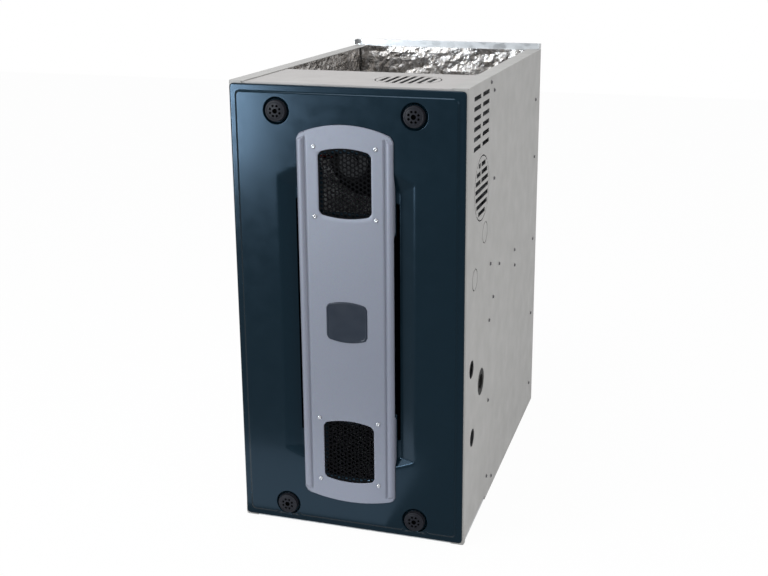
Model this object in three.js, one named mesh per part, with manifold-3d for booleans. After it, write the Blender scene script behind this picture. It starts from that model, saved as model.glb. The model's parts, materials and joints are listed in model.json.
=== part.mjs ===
// Forced air gas furnace: an upflow cabinet with a one-piece front door, four tubular heat
// exchanger cells, an induced-draught vent and a direct-drive blower. Millimetres, +Z up,
// the door faces -Y, and the origin is under the middle of the cabinet, at the floor.
import * as THREE from 'three';
import { mergeVertices } from 'three/addons/utils/BufferGeometryUtils.js';
import Module from 'manifold-3d';

const wasm = await Module();
wasm.setup();

// ---- driving dimensions -------------------------------------------------------------------
const caseWidth = 444.5;
const caseDepth = 717;
const caseHeight = 863.6;
const sheet = 1.2;
const seam = 0.3;
const overlap = 0.2;
const doorStandoff = 7;
const bezelProud = 6;

const doorTopDrop = 4.6;
const doorFloorGap = 4;
const doorRimWidth = 11;
const doorRimStep = 3;
const doorRimBevel = 4;

const recessHalfWidth = 128.5;
const recessFlank = 31.5;
const recessLow = 161.6;
const recessHeadDrop = 167.4;
const recessRise = 36;
const recessSag = 30;
const recessEndBevel = 18;
const recessDepth = 9;
const inletLow = 250;
const inletHeadDrop = 96.6;

const bezelHalfWidth = 90.5;
const bezelLow = 76;
const bezelHeadDrop = 85.4;
const bezelRise = 19.4;
const bezelSag = 14;
const bezelSheet = 1.5;
const ribWidth = 15.5;
const ribHeight = 3;
const ribEndInset = 8;

const windowHalfWidth = 50;
const upperWindowDrop = 30.6;
const upperWindowHeight = 113;
const lowerWindowLow = 110.5;
const lowerWindowHeight = 111.5;
const windowRise = 8;
const windowSag = 7;
const grilleSheet = 0.9;
const grilleFlange = 14;
const grillePitch = 19;
const grilleBar = 3;

const badgeHalfWidth = 39.5;
const badgeRise = 2;
const badgeHeight = 65;
const badgeArch = 7;
const badgeSheet = 0.9;

const knobX = 128.4;
const upperKnobDrop = 46;
const lowerKnobRise = 36.5;
const knobRadius = 19.5;
const knobLip = 6.5;
const dimpleRadius = 26;
const dimpleFloorRadius = 22;
const dimpleDepth = 5;
const studRadius = 4;
const camHalfLength = 12;
const camHalfHeight = 4;
const camThickness = 3;
const camClearance = 2.5;

const gasketWidth = 6;

const topFlangeWidth = 30;
const frontFlangeWidth = 25;
const railNotchHeight = 9;
const railNotchStart = 13;
const railNotchEnd = 183;
const panUpstand = 22;
const frontRailHeight = 70;
const headerHeight = 80;
const ductFlangeHeight = 13;
const ductFlangeSlot = 1.5;
const ductFlangeTab = 25;
const backFlange = 20;
const returnHalfWidth = 165;
const returnFrontGap = 32;
const returnRearGap = 35;

const louvreLength = 54;
const louvreHeight = 8;
const louvrePitch = 18;
const louvreRows = 6;
const louvreTopDrop = 24.6;
const louvreDepths = [72, 141];
const sideVentDepth = 115;
const sideVentDrop = 196.6;
const topVentX = 85;
const topVentDepth = 105;
const ventRadius = 62;
const ventSlotHeight = 8.6;
const ventSlotPitch = 15;
const ventSlots = 7;
const ventBridge = 7;
const ventBridgeOffset = -9;
const bridgedSlots = [4, 5, 6];
const knockoutCut = 2.4;
const ringKnockouts = [[147, 288.6], [67, 358.6]];
const ringRadius = 21.5;
const wireHoles = [[50, 336], [62, 193]];
const wireHoleRadius = 17.5;
const pipeHoleDepth = 131;
const pipeHoleZ = 280;
const pipeHoleRadius = 27;
const grommetBore = 15;
const grommetLip = 4;

const serviceGap = 13.4;
const panelFlange = 15;
const deckZ = 439.7;
const deckFlange = 20;
const linerThickness = 10;

const cellCount = 4;
const cellPitch = 84;
const tubeRadius = 20;
const tubeWall = 1.5;
const burnerRise = 80.3;
const flueDrop = 143.6;
const passPitchLeast = 46;
const rearBendGap = 25.8;
const frontBendGap = 6.3;

const collectorHalfWidth = 150;
const collectorHeight = 60;
const collectorDepth = 38;
const inducerInlet = 30;
const inducerTongueGap = 8;
const inducerGrowth = 30;
const inducerThickness = 54;
const inducerOutletTop = 62;
const inducerOutletWidth = 60;
const inducerWheelRadius = 52;
const inducerWheelWidth = 28;
const inducerBlades = 12;
const inducerMotorRadius = 42;
const inducerMotorLength = 62;
const inducerMotorGap = 12;
const collarRadius = 38;
const collarTransition = 36;
const collarTopGap = 12;

const burnerMouth = 16;
const burnerThroat = 11;
const burnerHead = 18.5;
const burnerLength = 92;
const flameGap = 24;
const burnerBoxHalfWidth = 165;
const burnerBoxHeight = 60;
const burnerBoxDepth = 110;
const manifoldRadius = 11;
const manifoldOffset = 34;
const valveHalf = 38;
const valveHeight = 58;
const valveDepth = 56;
const valveKnobReach = 14;
const valveDrop = 26;
const valveInletReach = 10;
const regulatorReach = 12;
const venturiStart = 12;
const venturiEnd = 32;
const throatLength = 16;
const headLength = 20;

const wheelRadius = 127;
const wheelWidth = 203;
const wheelBlades = 26;
const bladeDepth = 19;
const bladeThickness = 1.4;
const housingHalfWidth = 115;
const tongueGap = 11;
const scrollGrowth = 57;
const blowerSetback = 247;
const blowerDrop = 234.7;
const housingInlet = 105;
const motorRadius = 70;
const motorStart = 20;
const motorEnd = 150;
const shaftRadius = 6.35;
const runningGap = 0.6;

const blowerDoorLap = 10;
const blowerDoorLow = 20;
const blowerDoorTopGap = 19;
const blowerOpeningHalfWidth = 158;
const blowerOpeningLow = 35;
const blowerOpeningTopGap = 44.7;
const handleHalfWidth = 60;
const handleReach = 22;
const handleDrop = 90;
const handleLip = 18;
const switchX = 120;
const switchInset = 14;
const switchHalf = 9;
const switchHalfHeight = 10;
const switchLength = 26;
const plungerRadius = 3;
const plungerTravel = 2;
const plungerDepth = 14;

const bracketLow = 95;
const bracketHigh = 405;
const bracketSetback = 30;
const bracketLip = 12;
const boardLow = 205;
const boardHigh = 390;
const boardStandoff = 7;
const boardThickness = 1.6;
const relaySize = [22, 24, 17];
const relayPlaces = [20, 52, 84];
const terminalHeight = 11;
const plugHeight = 9;
const transformerZ = 145;
const transformerFoot = [76, 36, 1.5];
const transformerCore = [52, 48, 36];
const transformerCoil = [40, 68, 25];
const junctionWidth = 42;
const junctionFront = 18;
const junctionDepth = 66;
const junctionLow = 372;
const junctionHeight = 56;
const junctionLap = 2;
const harnessRadius = 4;
const limitSwitchX = 172;
const pressureSwitchX = -158;
const pressureSwitchDrop = 57.6;
const diaphragmRadius = 36;
const diaphragmDepth = 34;
const barbReach = 44;
const hoseRadius = 3.5;

// ---- places worked out from the dimensions ------------------------------------------------
const halfWidth = caseWidth / 2;
const bezelFront = -(caseDepth + doorStandoff + bezelProud) / 2;
const doorFace = bezelFront + bezelProud;
const caseFront = doorFace + doorStandoff;
const caseBack = caseFront + caseDepth;
const innerHalf = halfWidth - sheet - seam;
const doorTop = caseHeight - doorTopDrop;
const doorBottom = doorFloorGap;
const recessHigh = doorTop - recessHeadDrop;
const inletHigh = recessHigh - inletHeadDrop;
const bezelHigh = doorTop - bezelHeadDrop;
const upperWindowHigh = bezelHigh - upperWindowDrop;
const upperWindowLow = upperWindowHigh - upperWindowHeight;
const lowerWindowHigh = lowerWindowLow + lowerWindowHeight;
const badgeLow = (bezelLow + bezelHigh) / 2 - badgeHeight / 2 + badgeRise;
const badgeHigh = badgeLow + badgeHeight;
const upperKnobZ = doorTop - upperKnobDrop;
const lowerKnobZ = doorBottom + lowerKnobRise;
const louvreTopZ = caseHeight - louvreTopDrop;
const sideVentZ = caseHeight - sideVentDrop;
const vestibuleDepth = 2 * seam + burnerBoxDepth + manifoldOffset + valveDepth / 2 + valveKnobReach
  + serviceGap;
const vestibuleY = caseFront + vestibuleDepth;
const returnFront = vestibuleY + returnFrontGap;
const returnRear = caseBack - returnRearGap;
const burnerZ = deckZ + burnerRise;
const flueZ = caseHeight - flueDrop;
const passes = 2 + 2 * Math.floor(((flueZ - burnerZ) / passPitchLeast - 1) / 2);
const passPitch = (flueZ - burnerZ) / (passes - 1);
const rearBendY = caseBack - rearBendGap - tubeRadius - passPitch / 2;
const frontBendY = vestibuleY + sheet + seam + frontBendGap + tubeRadius + passPitch / 2;
const blowerY = vestibuleY + blowerSetback;
const blowerZ = deckZ - blowerDrop;
const housingTongue = wheelRadius + tongueGap;
const housingReach = housingTongue + scrollGrowth;
const inducerTongue = inducerWheelRadius + inducerTongueGap;
const inducerReach = inducerTongue + inducerGrowth;
const blowerDoorHalfWidth = blowerOpeningHalfWidth + blowerDoorLap;
const blowerDoorHigh = deckZ - blowerDoorTopGap;
const blowerOpeningHigh = deckZ - blowerOpeningTopGap;
const switchZ = blowerDoorHigh - switchInset;
const coverTop = caseHeight - sheet - seam;
const coverUnder = coverTop - sheet;
const railFront = caseFront + sheet + seam;
const fromFace = (depth) => caseFront + depth;
const cellX = (i) => (i - (cellCount - 1) / 2) * cellPitch;

// ---- finishes -------------------------------------------------------------------------------
const finish = {
  greyPaint: { color: 0xa8a6a3, roughness: 0.55, metalness: 0.1 },
  palePaint: { color: 0xc0bcb9, roughness: 0.55, metalness: 0.1 },
  navyGloss: { color: 0x162838, roughness: 0.22, metalness: 0.1 },
  satinSilver: { color: 0x9aa0b8, roughness: 0.4, metalness: 0.6 },
  blackPlastic: { color: 0x101113, roughness: 0.4, metalness: 0.0 },
  blackMesh: { color: 0x0c0c0d, roughness: 0.5, metalness: 0.3 },
  slate: { color: 0x2c333b, roughness: 0.35, metalness: 0.2 },
  rubber: { color: 0x1a1a1a, roughness: 0.9, metalness: 0.0 },
  foil: { color: 0xcfd1d3, roughness: 0.3, metalness: 0.85 },
  galvanised: { color: 0xb3b7ba, roughness: 0.45, metalness: 0.8 },
  aluminised: { color: 0xa7a9a8, roughness: 0.5, metalness: 0.7 },
  darkSteel: { color: 0x4b4d50, roughness: 0.5, metalness: 0.7 },
  castAlloy: { color: 0x9a9c9e, roughness: 0.55, metalness: 0.7 },
  motorBlack: { color: 0x1c1d20, roughness: 0.45, metalness: 0.4 },
  boardGreen: { color: 0x1f5a35, roughness: 0.6, metalness: 0.0 },
  ceramic: { color: 0xe6e2da, roughness: 0.7, metalness: 0.0 },
  hoseSilicone: { color: 0x8a8d8f, roughness: 0.7, metalness: 0.0 },
  wireRed: { color: 0x9c2a1e, roughness: 0.6, metalness: 0.0 },
};

// ---- solid helpers --------------------------------------------------------------------------
function signedVolume(positions, triangles) {
  const a = new THREE.Vector3();
  const b = new THREE.Vector3();
  const c = new THREE.Vector3();
  let volume = 0;
  for (let t = 0; t < triangles.length; t += 3) {
    a.fromArray(positions, 3 * triangles[t]);
    b.fromArray(positions, 3 * triangles[t + 1]);
    c.fromArray(positions, 3 * triangles[t + 2]);
    volume += a.dot(b.cross(c));
  }
  return volume;
}

function solidOf(geometry) {
  const bare = geometry.clone();
  bare.deleteAttribute('normal');
  bare.deleteAttribute('uv');
  const merged = mergeVertices(bare, 1e-4);
  const positions = Float32Array.from(merged.attributes.position.array);
  const source = merged.index.array;
  const triangles = [];
  for (let t = 0; t < source.length; t += 3) {
    const [a, b, c] = [source[t], source[t + 1], source[t + 2]];
    if (a !== b && b !== c && c !== a) triangles.push(a, b, c);
  }
  if (signedVolume(positions, triangles) < 0) triangles.reverse();
  const mesh = new wasm.Mesh({
    numProp: 3,
    vertProperties: positions,
    triVerts: Uint32Array.from(triangles),
  });
  return new wasm.Manifold(mesh);
}

function geometryOf(solid) {
  const mesh = solid.getMesh();
  const geometry = new THREE.BufferGeometry();
  const positions = Float32Array.from(mesh.vertProperties);
  geometry.setAttribute('position', new THREE.BufferAttribute(positions, 3));
  geometry.setIndex(new THREE.BufferAttribute(Uint32Array.from(mesh.triVerts), 1));
  geometry.computeVertexNormals();
  return geometry;
}

const joined = (solids) => solids.reduce((sum, solid) => sum.add(solid));
const without = (solid, cuts) => cuts.reduce((rest, cut) => rest.subtract(cut), solid);

function block(x0, x1, y0, y1, z0, z1) {
  const geometry = new THREE.BoxGeometry(x1 - x0, y1 - y0, z1 - z0);
  geometry.translate((x0 + x1) / 2, (y0 + y1) / 2, (z0 + z1) / 2);
  return solidOf(geometry);
}

const AXES = {
  x: [new THREE.Vector3(0, 1, 0), new THREE.Vector3(0, 0, 1), new THREE.Vector3(1, 0, 0)],
  y: [new THREE.Vector3(1, 0, 0), new THREE.Vector3(0, 0, 1), new THREE.Vector3(0, -1, 0)],
  z: [new THREE.Vector3(1, 0, 0), new THREE.Vector3(0, 1, 0), new THREE.Vector3(0, 0, 1)],
};

// A shape drawn across an axis (y,z for x; x,z for y; x,y for z) and extruded along it.
function prism(axis, shape, from, to, segments = 8) {
  const options = { depth: to - from, bevelEnabled: false, curveSegments: segments };
  const geometry = new THREE.ExtrudeGeometry(shape, options);
  if (axis === 'y') geometry.translate(0, 0, -to);
  else geometry.translate(0, 0, from);
  geometry.applyMatrix4(new THREE.Matrix4().makeBasis(...AXES[axis]));
  return solidOf(geometry);
}

// A revolved profile of [radius, height] pairs about a line along the axis.
function turned(axis, profile, sides, centre = [0, 0, 0]) {
  const points = profile.map(([r, h]) => new THREE.Vector2(r, h));
  const geometry = new THREE.LatheGeometry(points, sides);
  if (axis === 'x') geometry.rotateZ(-Math.PI / 2);
  if (axis === 'z') geometry.rotateX(Math.PI / 2);
  geometry.translate(...centre);
  return solidOf(geometry);
}

function rod(axis, radius, from, to, centre, sides = 16) {
  return turned(axis, [[0, from], [radius, from], [radius, to], [0, to]], sides, centre);
}

function ring(axis, outer, inner, from, to, centre, sides = 24) {
  const profile = [[inner, from], [outer, from], [outer, to], [inner, to], [inner, from]];
  return turned(axis, profile, sides, centre);
}

function rectangle(x0, x1, z0, z1) {
  const shape = new THREE.Shape();
  shape.moveTo(x0, z0);
  shape.lineTo(x1, z0);
  shape.lineTo(x1, z1);
  shape.lineTo(x0, z1);
  shape.closePath();
  return shape;
}

const arcRadius = (half, rise) => (half * half + rise * rise) / (2 * rise);

// Points of an upright outline with an arched head and a sagging foot.
function archPoints(half, low, high, rise, sag, steps = 8) {
  const points = [];
  const arc = (z, depth, sign) => {
    const r = arcRadius(half, depth);
    const reach = Math.asin(half / r);
    for (let i = 0; i <= steps; i += 1) {
      const a = reach - (2 * reach * i) / steps;
      const x = r * Math.sin(a) * sign;
      points.push(new THREE.Vector2(x, z + sign * (depth - r + r * Math.cos(a))));
    }
  };
  arc(high, rise, 1);
  arc(low, sag, -1);
  return points;
}

const archShape = (...sizes) => new THREE.Shape(archPoints(...sizes));

// A closed body through outlines of equal point counts, each at its own place along the axis.
function loft(axis, outlines, places) {
  const count = outlines[0].length;
  const positions = [];
  outlines.forEach((outline, k) => outline.forEach((p) => {
    positions.push(...(axis === 'y' ? [p.x, places[k], p.y] : [p.x, p.y, places[k]]));
  }));
  const index = [];
  for (let k = 0; k + 1 < outlines.length; k += 1) {
    for (let i = 0; i < count; i += 1) {
      const j = (i + 1) % count;
      const [a, b, c, d] = [k * count + i, k * count + j, (k + 1) * count + i, (k + 1) * count + j];
      index.push(a, b, c, c, b, d);
    }
  }
  const last = (outlines.length - 1) * count;
  const firstCap = THREE.ShapeUtils.triangulateShape(outlines[0], []);
  const lastCap = THREE.ShapeUtils.triangulateShape(outlines[outlines.length - 1], []);
  const clockwise = THREE.ShapeUtils.isClockWise(outlines[0]);
  firstCap.forEach(([a, b, c]) => index.push(...(clockwise ? [a, b, c] : [c, b, a])));
  lastCap.forEach(([a, b, c]) => {
    index.push(...(clockwise ? [last + c, last + b, last + a] : [last + a, last + b, last + c]));
  });
  const geometry = new THREE.BufferGeometry();
  geometry.setAttribute('position', new THREE.Float32BufferAttribute(positions, 3));
  geometry.setIndex(index);
  return solidOf(geometry);
}

// A route through stations: a tube along it gets one ring at each station.
class StationRoute extends THREE.Curve {
  constructor(stations) {
    super();
    this.stations = stations;
  }

  getPoint(t, target = new THREE.Vector3()) {
    const along = t * (this.stations.length - 1);
    const i = Math.min(Math.floor(along + 1e-6), this.stations.length - 2);
    return target.lerpVectors(this.stations[i], this.stations[i + 1], along - i);
  }

  getPointAt(t, target) {
    return this.getPoint(t, target);
  }

  getTangentAt(t, target = new THREE.Vector3()) {
    const i = Math.round(t * (this.stations.length - 1));
    const before = this.stations[Math.max(i - 1, 0)];
    const after = this.stations[Math.min(i + 1, this.stations.length - 1)];
    return target.subVectors(after, before).normalize();
  }
}

function tube(stations, radius, sides = 8) {
  const points = [];
  for (let i = 0; i < sides; i += 1) {
    const a = (2 * Math.PI * (i + 0.5)) / sides;
    points.push(new THREE.Vector2(radius * Math.cos(a), radius * Math.sin(a)));
  }
  const options = { steps: stations.length - 1, extrudePath: new StationRoute(stations) };
  return solidOf(new THREE.ExtrudeGeometry(new THREE.Shape(points), options));
}

// ---- the assembly ---------------------------------------------------------------------------
const furnace = new THREE.Group();
const casing = new THREE.Group();
const door = new THREE.Group();
const combustion = new THREE.Group();
const airSide = new THREE.Group();
const controls = new THREE.Group();
furnace.add(casing, door, combustion, airSide, controls);

function piece(group, name, solid, look, place = [0, 0, 0], turn = [0, 0, 0]) {
  const mesh = new THREE.Mesh(geometryOf(solid), new THREE.MeshStandardMaterial(look));
  mesh.name = name;
  mesh.position.set(...place);
  mesh.rotation.set(...turn);
  group.add(mesh);
}

// ---- casing ---------------------------------------------------------------------------------
// The ring cut of a knockout: arcs parted by bridges that hold the blank in the sheet.
function ringCut(axis, cx, cz, radius, bridges, segments, from, to) {
  const bridgeAngle = 5 / radius;
  const cuts = [];
  for (let i = 0; i < bridges; i += 1) {
    const start = (2 * Math.PI * (i + 0.5)) / bridges + bridgeAngle / 2;
    const end = (2 * Math.PI * (i + 1.5)) / bridges - bridgeAngle / 2;
    const shape = new THREE.Shape();
    shape.absarc(cx, cz, radius, start, end, false);
    shape.absarc(cx, cz, radius - knockoutCut, end, start, true);
    shape.closePath();
    cuts.push(prism(axis, shape, from, to, segments));
  }
  return cuts;
}

// A round knockout with a ring cut and parallel slots that follow its outline.
function ventCuts(axis, cx, cz, from, to, upright) {
  const cuts = ringCut(axis, cx, cz, ventRadius, 4, 3, from, to);
  for (let i = 0; i < ventSlots; i += 1) {
    const off = (i - (ventSlots - 1) / 2) * ventSlotPitch;
    const inner = ventRadius - 9;
    const length = 2 * Math.sqrt(inner * inner - off * off);
    const half = ventSlotHeight / 2;
    const runs = !upright && bridgedSlots.includes(i)
      ? [[-length / 2, ventBridgeOffset - ventBridge / 2], [ventBridgeOffset + ventBridge / 2, length / 2]]
      : [[-length / 2, length / 2]];
    runs.forEach(([start, end]) => {
      const shape = upright
        ? rectangle(cx + off - half, cx + off + half, cz + start, cz + end)
        : rectangle(cx + start, cx + end, cz + off - half, cz + off + half);
      cuts.push(prism(axis, shape, from, to));
    });
  }
  return cuts;
}

function sidePanel(side) {
  const [outer, inner] = [halfWidth, halfWidth - sheet];
  const at = (x0, x1, y0, y1, z0, z1) => {
    const [a, b] = side > 0 ? [x0, x1] : [-x1, -x0];
    return block(a, b, y0, y1, z0, z1);
  };
  const skin = at(inner, outer, caseFront, caseBack, 0, caseHeight);
  const top = at(outer - topFlangeWidth, outer - overlap, caseFront + overlap, caseBack - sheet - seam,
    caseHeight - sheet, caseHeight);
  const front = at(outer - frontFlangeWidth, outer - overlap, caseFront, caseFront + sheet, 0,
    caseHeight);
  const [from, to] = side > 0 ? [inner - 5, outer + 5] : [-outer - 5, -inner + 5];
  const cuts = [
    at(inner - 5, outer + 5, fromFace(railNotchStart), fromFace(railNotchEnd), -5, railNotchHeight),
  ];
  louvreDepths.forEach((depth) => {
    for (let row = 0; row < louvreRows; row += 1) {
      const z = louvreTopZ - row * louvrePitch;
      const y = fromFace(depth);
      cuts.push(block(from, to, y - louvreLength / 2, y + louvreLength / 2, z - louvreHeight / 2,
        z + louvreHeight / 2));
    }
  });
  cuts.push(...ventCuts('x', fromFace(sideVentDepth), sideVentZ, from, to, false));
  const rings = ringKnockouts.map(([depth, drop]) => [depth, caseHeight - drop, ringRadius]);
  const holes = [...wireHoles.map((place) => [...place, wireHoleRadius]),
    [pipeHoleDepth, pipeHoleZ, pipeHoleRadius]];
  if (side < 0) rings.push(...holes);
  rings.forEach(([depth, z, r]) => {
    cuts.push(...ringCut('x', fromFace(depth), z, r, 2, 3, from, to));
  });
  if (side > 0) {
    holes.forEach(([depth, z, r]) => {
      cuts.push(rod('x', r, from, to, [0, fromFace(depth), z], 16));
    });
  }
  return without(joined([skin, top, front]), cuts);
}

piece(casing, 'right_side_panel', sidePanel(1), finish.greyPaint);
piece(casing, 'left_side_panel', sidePanel(-1), finish.greyPaint);

// A rubber ring in the pipe hole: its lip lies on the inside of the wall.
function pipeGrommet() {
  const r = pipeHoleRadius - 2 * seam;
  const profile = [[grommetBore, -grommetLip], [r + grommetLip, -grommetLip], [r + grommetLip, -seam],
    [r, -seam], [r, sheet - overlap], [grommetBore, sheet - overlap], [grommetBore, -grommetLip]];
  return turned('x', profile, 16);
}
piece(casing, 'pipe_grommet', pipeGrommet(), finish.rubber,
  [halfWidth - sheet, fromFace(pipeHoleDepth), pipeHoleZ]);

function backPanel() {
  const skin = block(-innerHalf, innerHalf, caseBack - sheet, caseBack, sheet + seam, caseHeight + 5);
  const flangeLow = caseHeight + ductFlangeSlot;
  const flangeHigh = caseHeight + ductFlangeHeight;
  const flange = block(-halfWidth, halfWidth, caseBack - sheet, caseBack, flangeLow, flangeHigh);
  const parts = [skin, flange];
  [-1, 1].forEach((side) => {
    const [o, i] = [halfWidth * side, (halfWidth - sheet) * side];
    parts.push(block(Math.min(o, i), Math.max(o, i), caseBack - ductFlangeTab, caseBack - overlap,
      flangeLow, flangeHigh));
    const [fo, fi] = [innerHalf * side, (innerHalf - sheet) * side];
    parts.push(block(Math.min(fo, fi), Math.max(fo, fi), caseBack - backFlange, caseBack - overlap,
      panUpstand + 2, coverUnder - 1));
  });
  return joined(parts);
}
piece(casing, 'back_panel', backPanel(), finish.galvanised);

function basePan() {
  const rearEdge = caseBack - sheet - seam;
  const floor = block(-innerHalf, innerHalf, railFront, rearEdge, 0, sheet);
  const front = block(-innerHalf, innerHalf, railFront, railFront + sheet, 0, frontRailHeight);
  const rear = block(-innerHalf, innerHalf, rearEdge - sheet, rearEdge, 0, panUpstand);
  const parts = [floor, front, rear];
  const flangeGap = 1;
  [-1, 1].forEach((side) => {
    const [o, i] = [innerHalf * side, (innerHalf - sheet) * side];
    const [x0, x1] = [Math.min(o, i), Math.max(o, i)];
    const split = vestibuleY - panelFlange - flangeGap;
    parts.push(block(x0, x1, railFront + overlap, split, overlap, panUpstand));
    parts.push(block(x0, x1, vestibuleY + sheet + flangeGap, rearEdge - overlap, overlap, panUpstand));
  });
  const cuts = [block(-returnHalfWidth, returnHalfWidth, returnFront, returnRear, -5, 5)];
  [-knobX, knobX].forEach((x) => {
    cuts.push(rod('y', camHalfLength + camClearance, railFront - 5, railFront + 5, [x, 0, lowerKnobZ]));
  });
  return without(joined(parts), cuts);
}
piece(casing, 'base_pan', basePan(), finish.galvanised);

function topCover() {
  const rear = vestibuleY + sheet;
  const plate = block(-innerHalf, innerHalf, railFront, rear, coverUnder, coverTop);
  const header = block(-innerHalf, innerHalf, railFront, railFront + sheet, caseHeight - headerHeight,
    coverTop - overlap);
  const cuts = ventCuts('z', topVentX, fromFace(topVentDepth), coverUnder - 5, coverTop + 5, true);
  [-knobX, knobX].forEach((x) => {
    cuts.push(rod('y', camHalfLength + camClearance, railFront - 5, railFront + 5, [x, 0, upperKnobZ]));
  });
  return without(plate.add(header), cuts);
}
piece(casing, 'top_cover', topCover(), finish.palePaint);

function vestibulePanel() {
  const low = sheet + seam;
  const high = coverUnder - seam;
  const parts = [block(-innerHalf, innerHalf, vestibuleY, vestibuleY + sheet, low, high)];
  [-1, 1].forEach((side) => {
    const [o, i] = [innerHalf * side, (innerHalf - sheet) * side];
    parts.push(block(Math.min(o, i), Math.max(o, i), vestibuleY - panelFlange, vestibuleY + overlap,
      low, high));
  });
  const [from, to] = [vestibuleY - 5, vestibuleY + 5];
  const cuts = [block(-blowerOpeningHalfWidth, blowerOpeningHalfWidth, from, to, blowerOpeningLow,
    blowerOpeningHigh)];
  for (let i = 0; i < cellCount; i += 1) {
    [burnerZ, flueZ].forEach((z) => {
      cuts.push(rod('y', tubeRadius - tubeWall, from, to, [cellX(i), 0, z], 10));
    });
  }
  cuts.push(rod('y', plungerRadius + runningGap, from, to, [switchX, 0, switchZ], 12));
  return without(joined(parts), cuts);
}
piece(casing, 'vestibule_panel', vestibulePanel(), finish.galvanised);

const deckFront = vestibuleY + sheet + seam;
const deckRear = caseBack - sheet - seam;
function blowerDeck() {
  const low = deckZ - sheet;
  const half = innerHalf - sheet - seam;
  const parts = [block(-half, half, deckFront, deckRear, low, deckZ)];
  [-1, 1].forEach((side) => {
    const [o, i] = [half * side, (half - sheet) * side];
    parts.push(block(Math.min(o, i), Math.max(o, i), deckFront, deckRear, low - deckFlange, deckZ));
  });
  const cut = block(-housingHalfWidth + sheet, housingHalfWidth - sheet, blowerY - housingReach + sheet,
    blowerY - sheet, low - 5, deckZ + 5);
  return joined(parts).subtract(cut);
}
piece(casing, 'blower_deck', blowerDeck(), finish.galvanised);

const linerLow = deckZ + seam;
const linerHigh = caseHeight - sheet - 2 * seam;
const linerRear = caseBack - backFlange - seam;
const sideLiner = () => block(0, linerThickness, deckFront, linerRear, linerLow, linerHigh);
piece(casing, 'left_liner', sideLiner(), finish.foil, [-innerHalf, 0, 0]);
piece(casing, 'right_liner', sideLiner(), finish.foil, [innerHalf - linerThickness, 0, 0]);
const rearLinerHalf = innerHalf - sheet - seam;
piece(casing, 'rear_liner', block(-rearLinerHalf, rearLinerHalf, deckRear - linerThickness, deckRear,
  linerLow, linerHigh), finish.foil);

// ---- outer door -----------------------------------------------------------------------------
const recessArch = (grow, flank, end) => archPoints(recessHalfWidth + grow - flank,
  recessLow - grow + end, recessHigh + grow - end, recessRise, recessSag);

function dimple(radius, floorRadius, depth, x, z) {
  return turned('y', [[0, -1], [radius, -1], [radius, 0], [floorRadius, depth], [0, depth]], 16,
    [x, doorFace, z]);
}

const knobPlaces = [[-knobX, upperKnobZ], [knobX, upperKnobZ], [-knobX, lowerKnobZ], [knobX, lowerKnobZ]];

function doorPanel() {
  const rimFace = doorFace + doorRimStep;
  const hem = caseFront - seam;
  const slab = (inset, y0, y1) => block(-halfWidth + inset, halfWidth - inset, y0, y1,
    doorBottom + inset, doorTop - inset);
  const frame = (inset) => [
    new THREE.Vector2(-halfWidth + inset, doorBottom + inset),
    new THREE.Vector2(halfWidth - inset, doorBottom + inset),
    new THREE.Vector2(halfWidth - inset, doorTop - inset),
    new THREE.Vector2(-halfWidth + inset, doorTop - inset),
  ];
  const field = (inset, lift) => loft(
    'y',
    [frame(doorRimWidth + doorRimBevel + inset), frame(doorRimWidth + inset)],
    [doorFace + lift, rimFace + lift + overlap],
  );
  let panel = slab(0, rimFace, hem).add(field(0, 0));
  panel = panel.subtract(slab(sheet, rimFace + sheet, hem + 5)).subtract(field(sheet, sheet));
  const backs = [loft('y', [recessArch(sheet, 0, 0), recessArch(sheet, recessFlank, recessEndBevel)],
    [doorFace + sheet / 2, doorFace + recessDepth + sheet])];
  const cuts = [loft('y', [recessArch(0, 0, 0), recessArch(0, recessFlank, recessEndBevel)],
    [doorFace - 0.01, doorFace + recessDepth])];
  knobPlaces.forEach(([x, z]) => {
    backs.push(turned('y', [[0, sheet / 2], [dimpleRadius + sheet, sheet / 2],
      [dimpleFloorRadius + sheet, dimpleDepth + sheet], [0, dimpleDepth + sheet]], 16,
      [x, doorFace, z]));
    cuts.push(dimple(dimpleRadius, dimpleFloorRadius, dimpleDepth, x, z));
    cuts.push(rod('y', studRadius + runningGap, 0, 20, [x, doorFace, z], 10));
  });
  const inletHalf = recessHalfWidth - recessFlank - 2;
  cuts.push(block(-inletHalf, inletHalf, doorFace, doorFace + 20, inletLow, inletHigh));
  const windowHalf = windowHalfWidth - 4;
  [[upperWindowLow, upperWindowHigh], [lowerWindowLow, lowerWindowHigh]].forEach(([low, high]) => {
    cuts.push(block(-windowHalf, windowHalf, doorFace - 5, doorFace + 20, low + 2, high - 2));
  });
  return without(joined([panel, ...backs]), cuts);
}
piece(door, 'door_panel', doorPanel(), finish.navyGloss);

function doorGasket() {
  const outer = doorRimWidth / 2;
  const [front, rear] = [doorFace + doorRimStep + sheet + seam, caseFront - seam];
  const solid = block(-halfWidth + outer, halfWidth - outer, front, rear, doorBottom + outer,
    doorTop - outer);
  const inset = outer + gasketWidth;
  return solid.subtract(block(-halfWidth + inset, halfWidth - inset, front - 5, rear + 5,
    doorBottom + inset, doorTop - inset));
}
piece(door, 'door_gasket', doorGasket(), finish.rubber);

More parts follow.
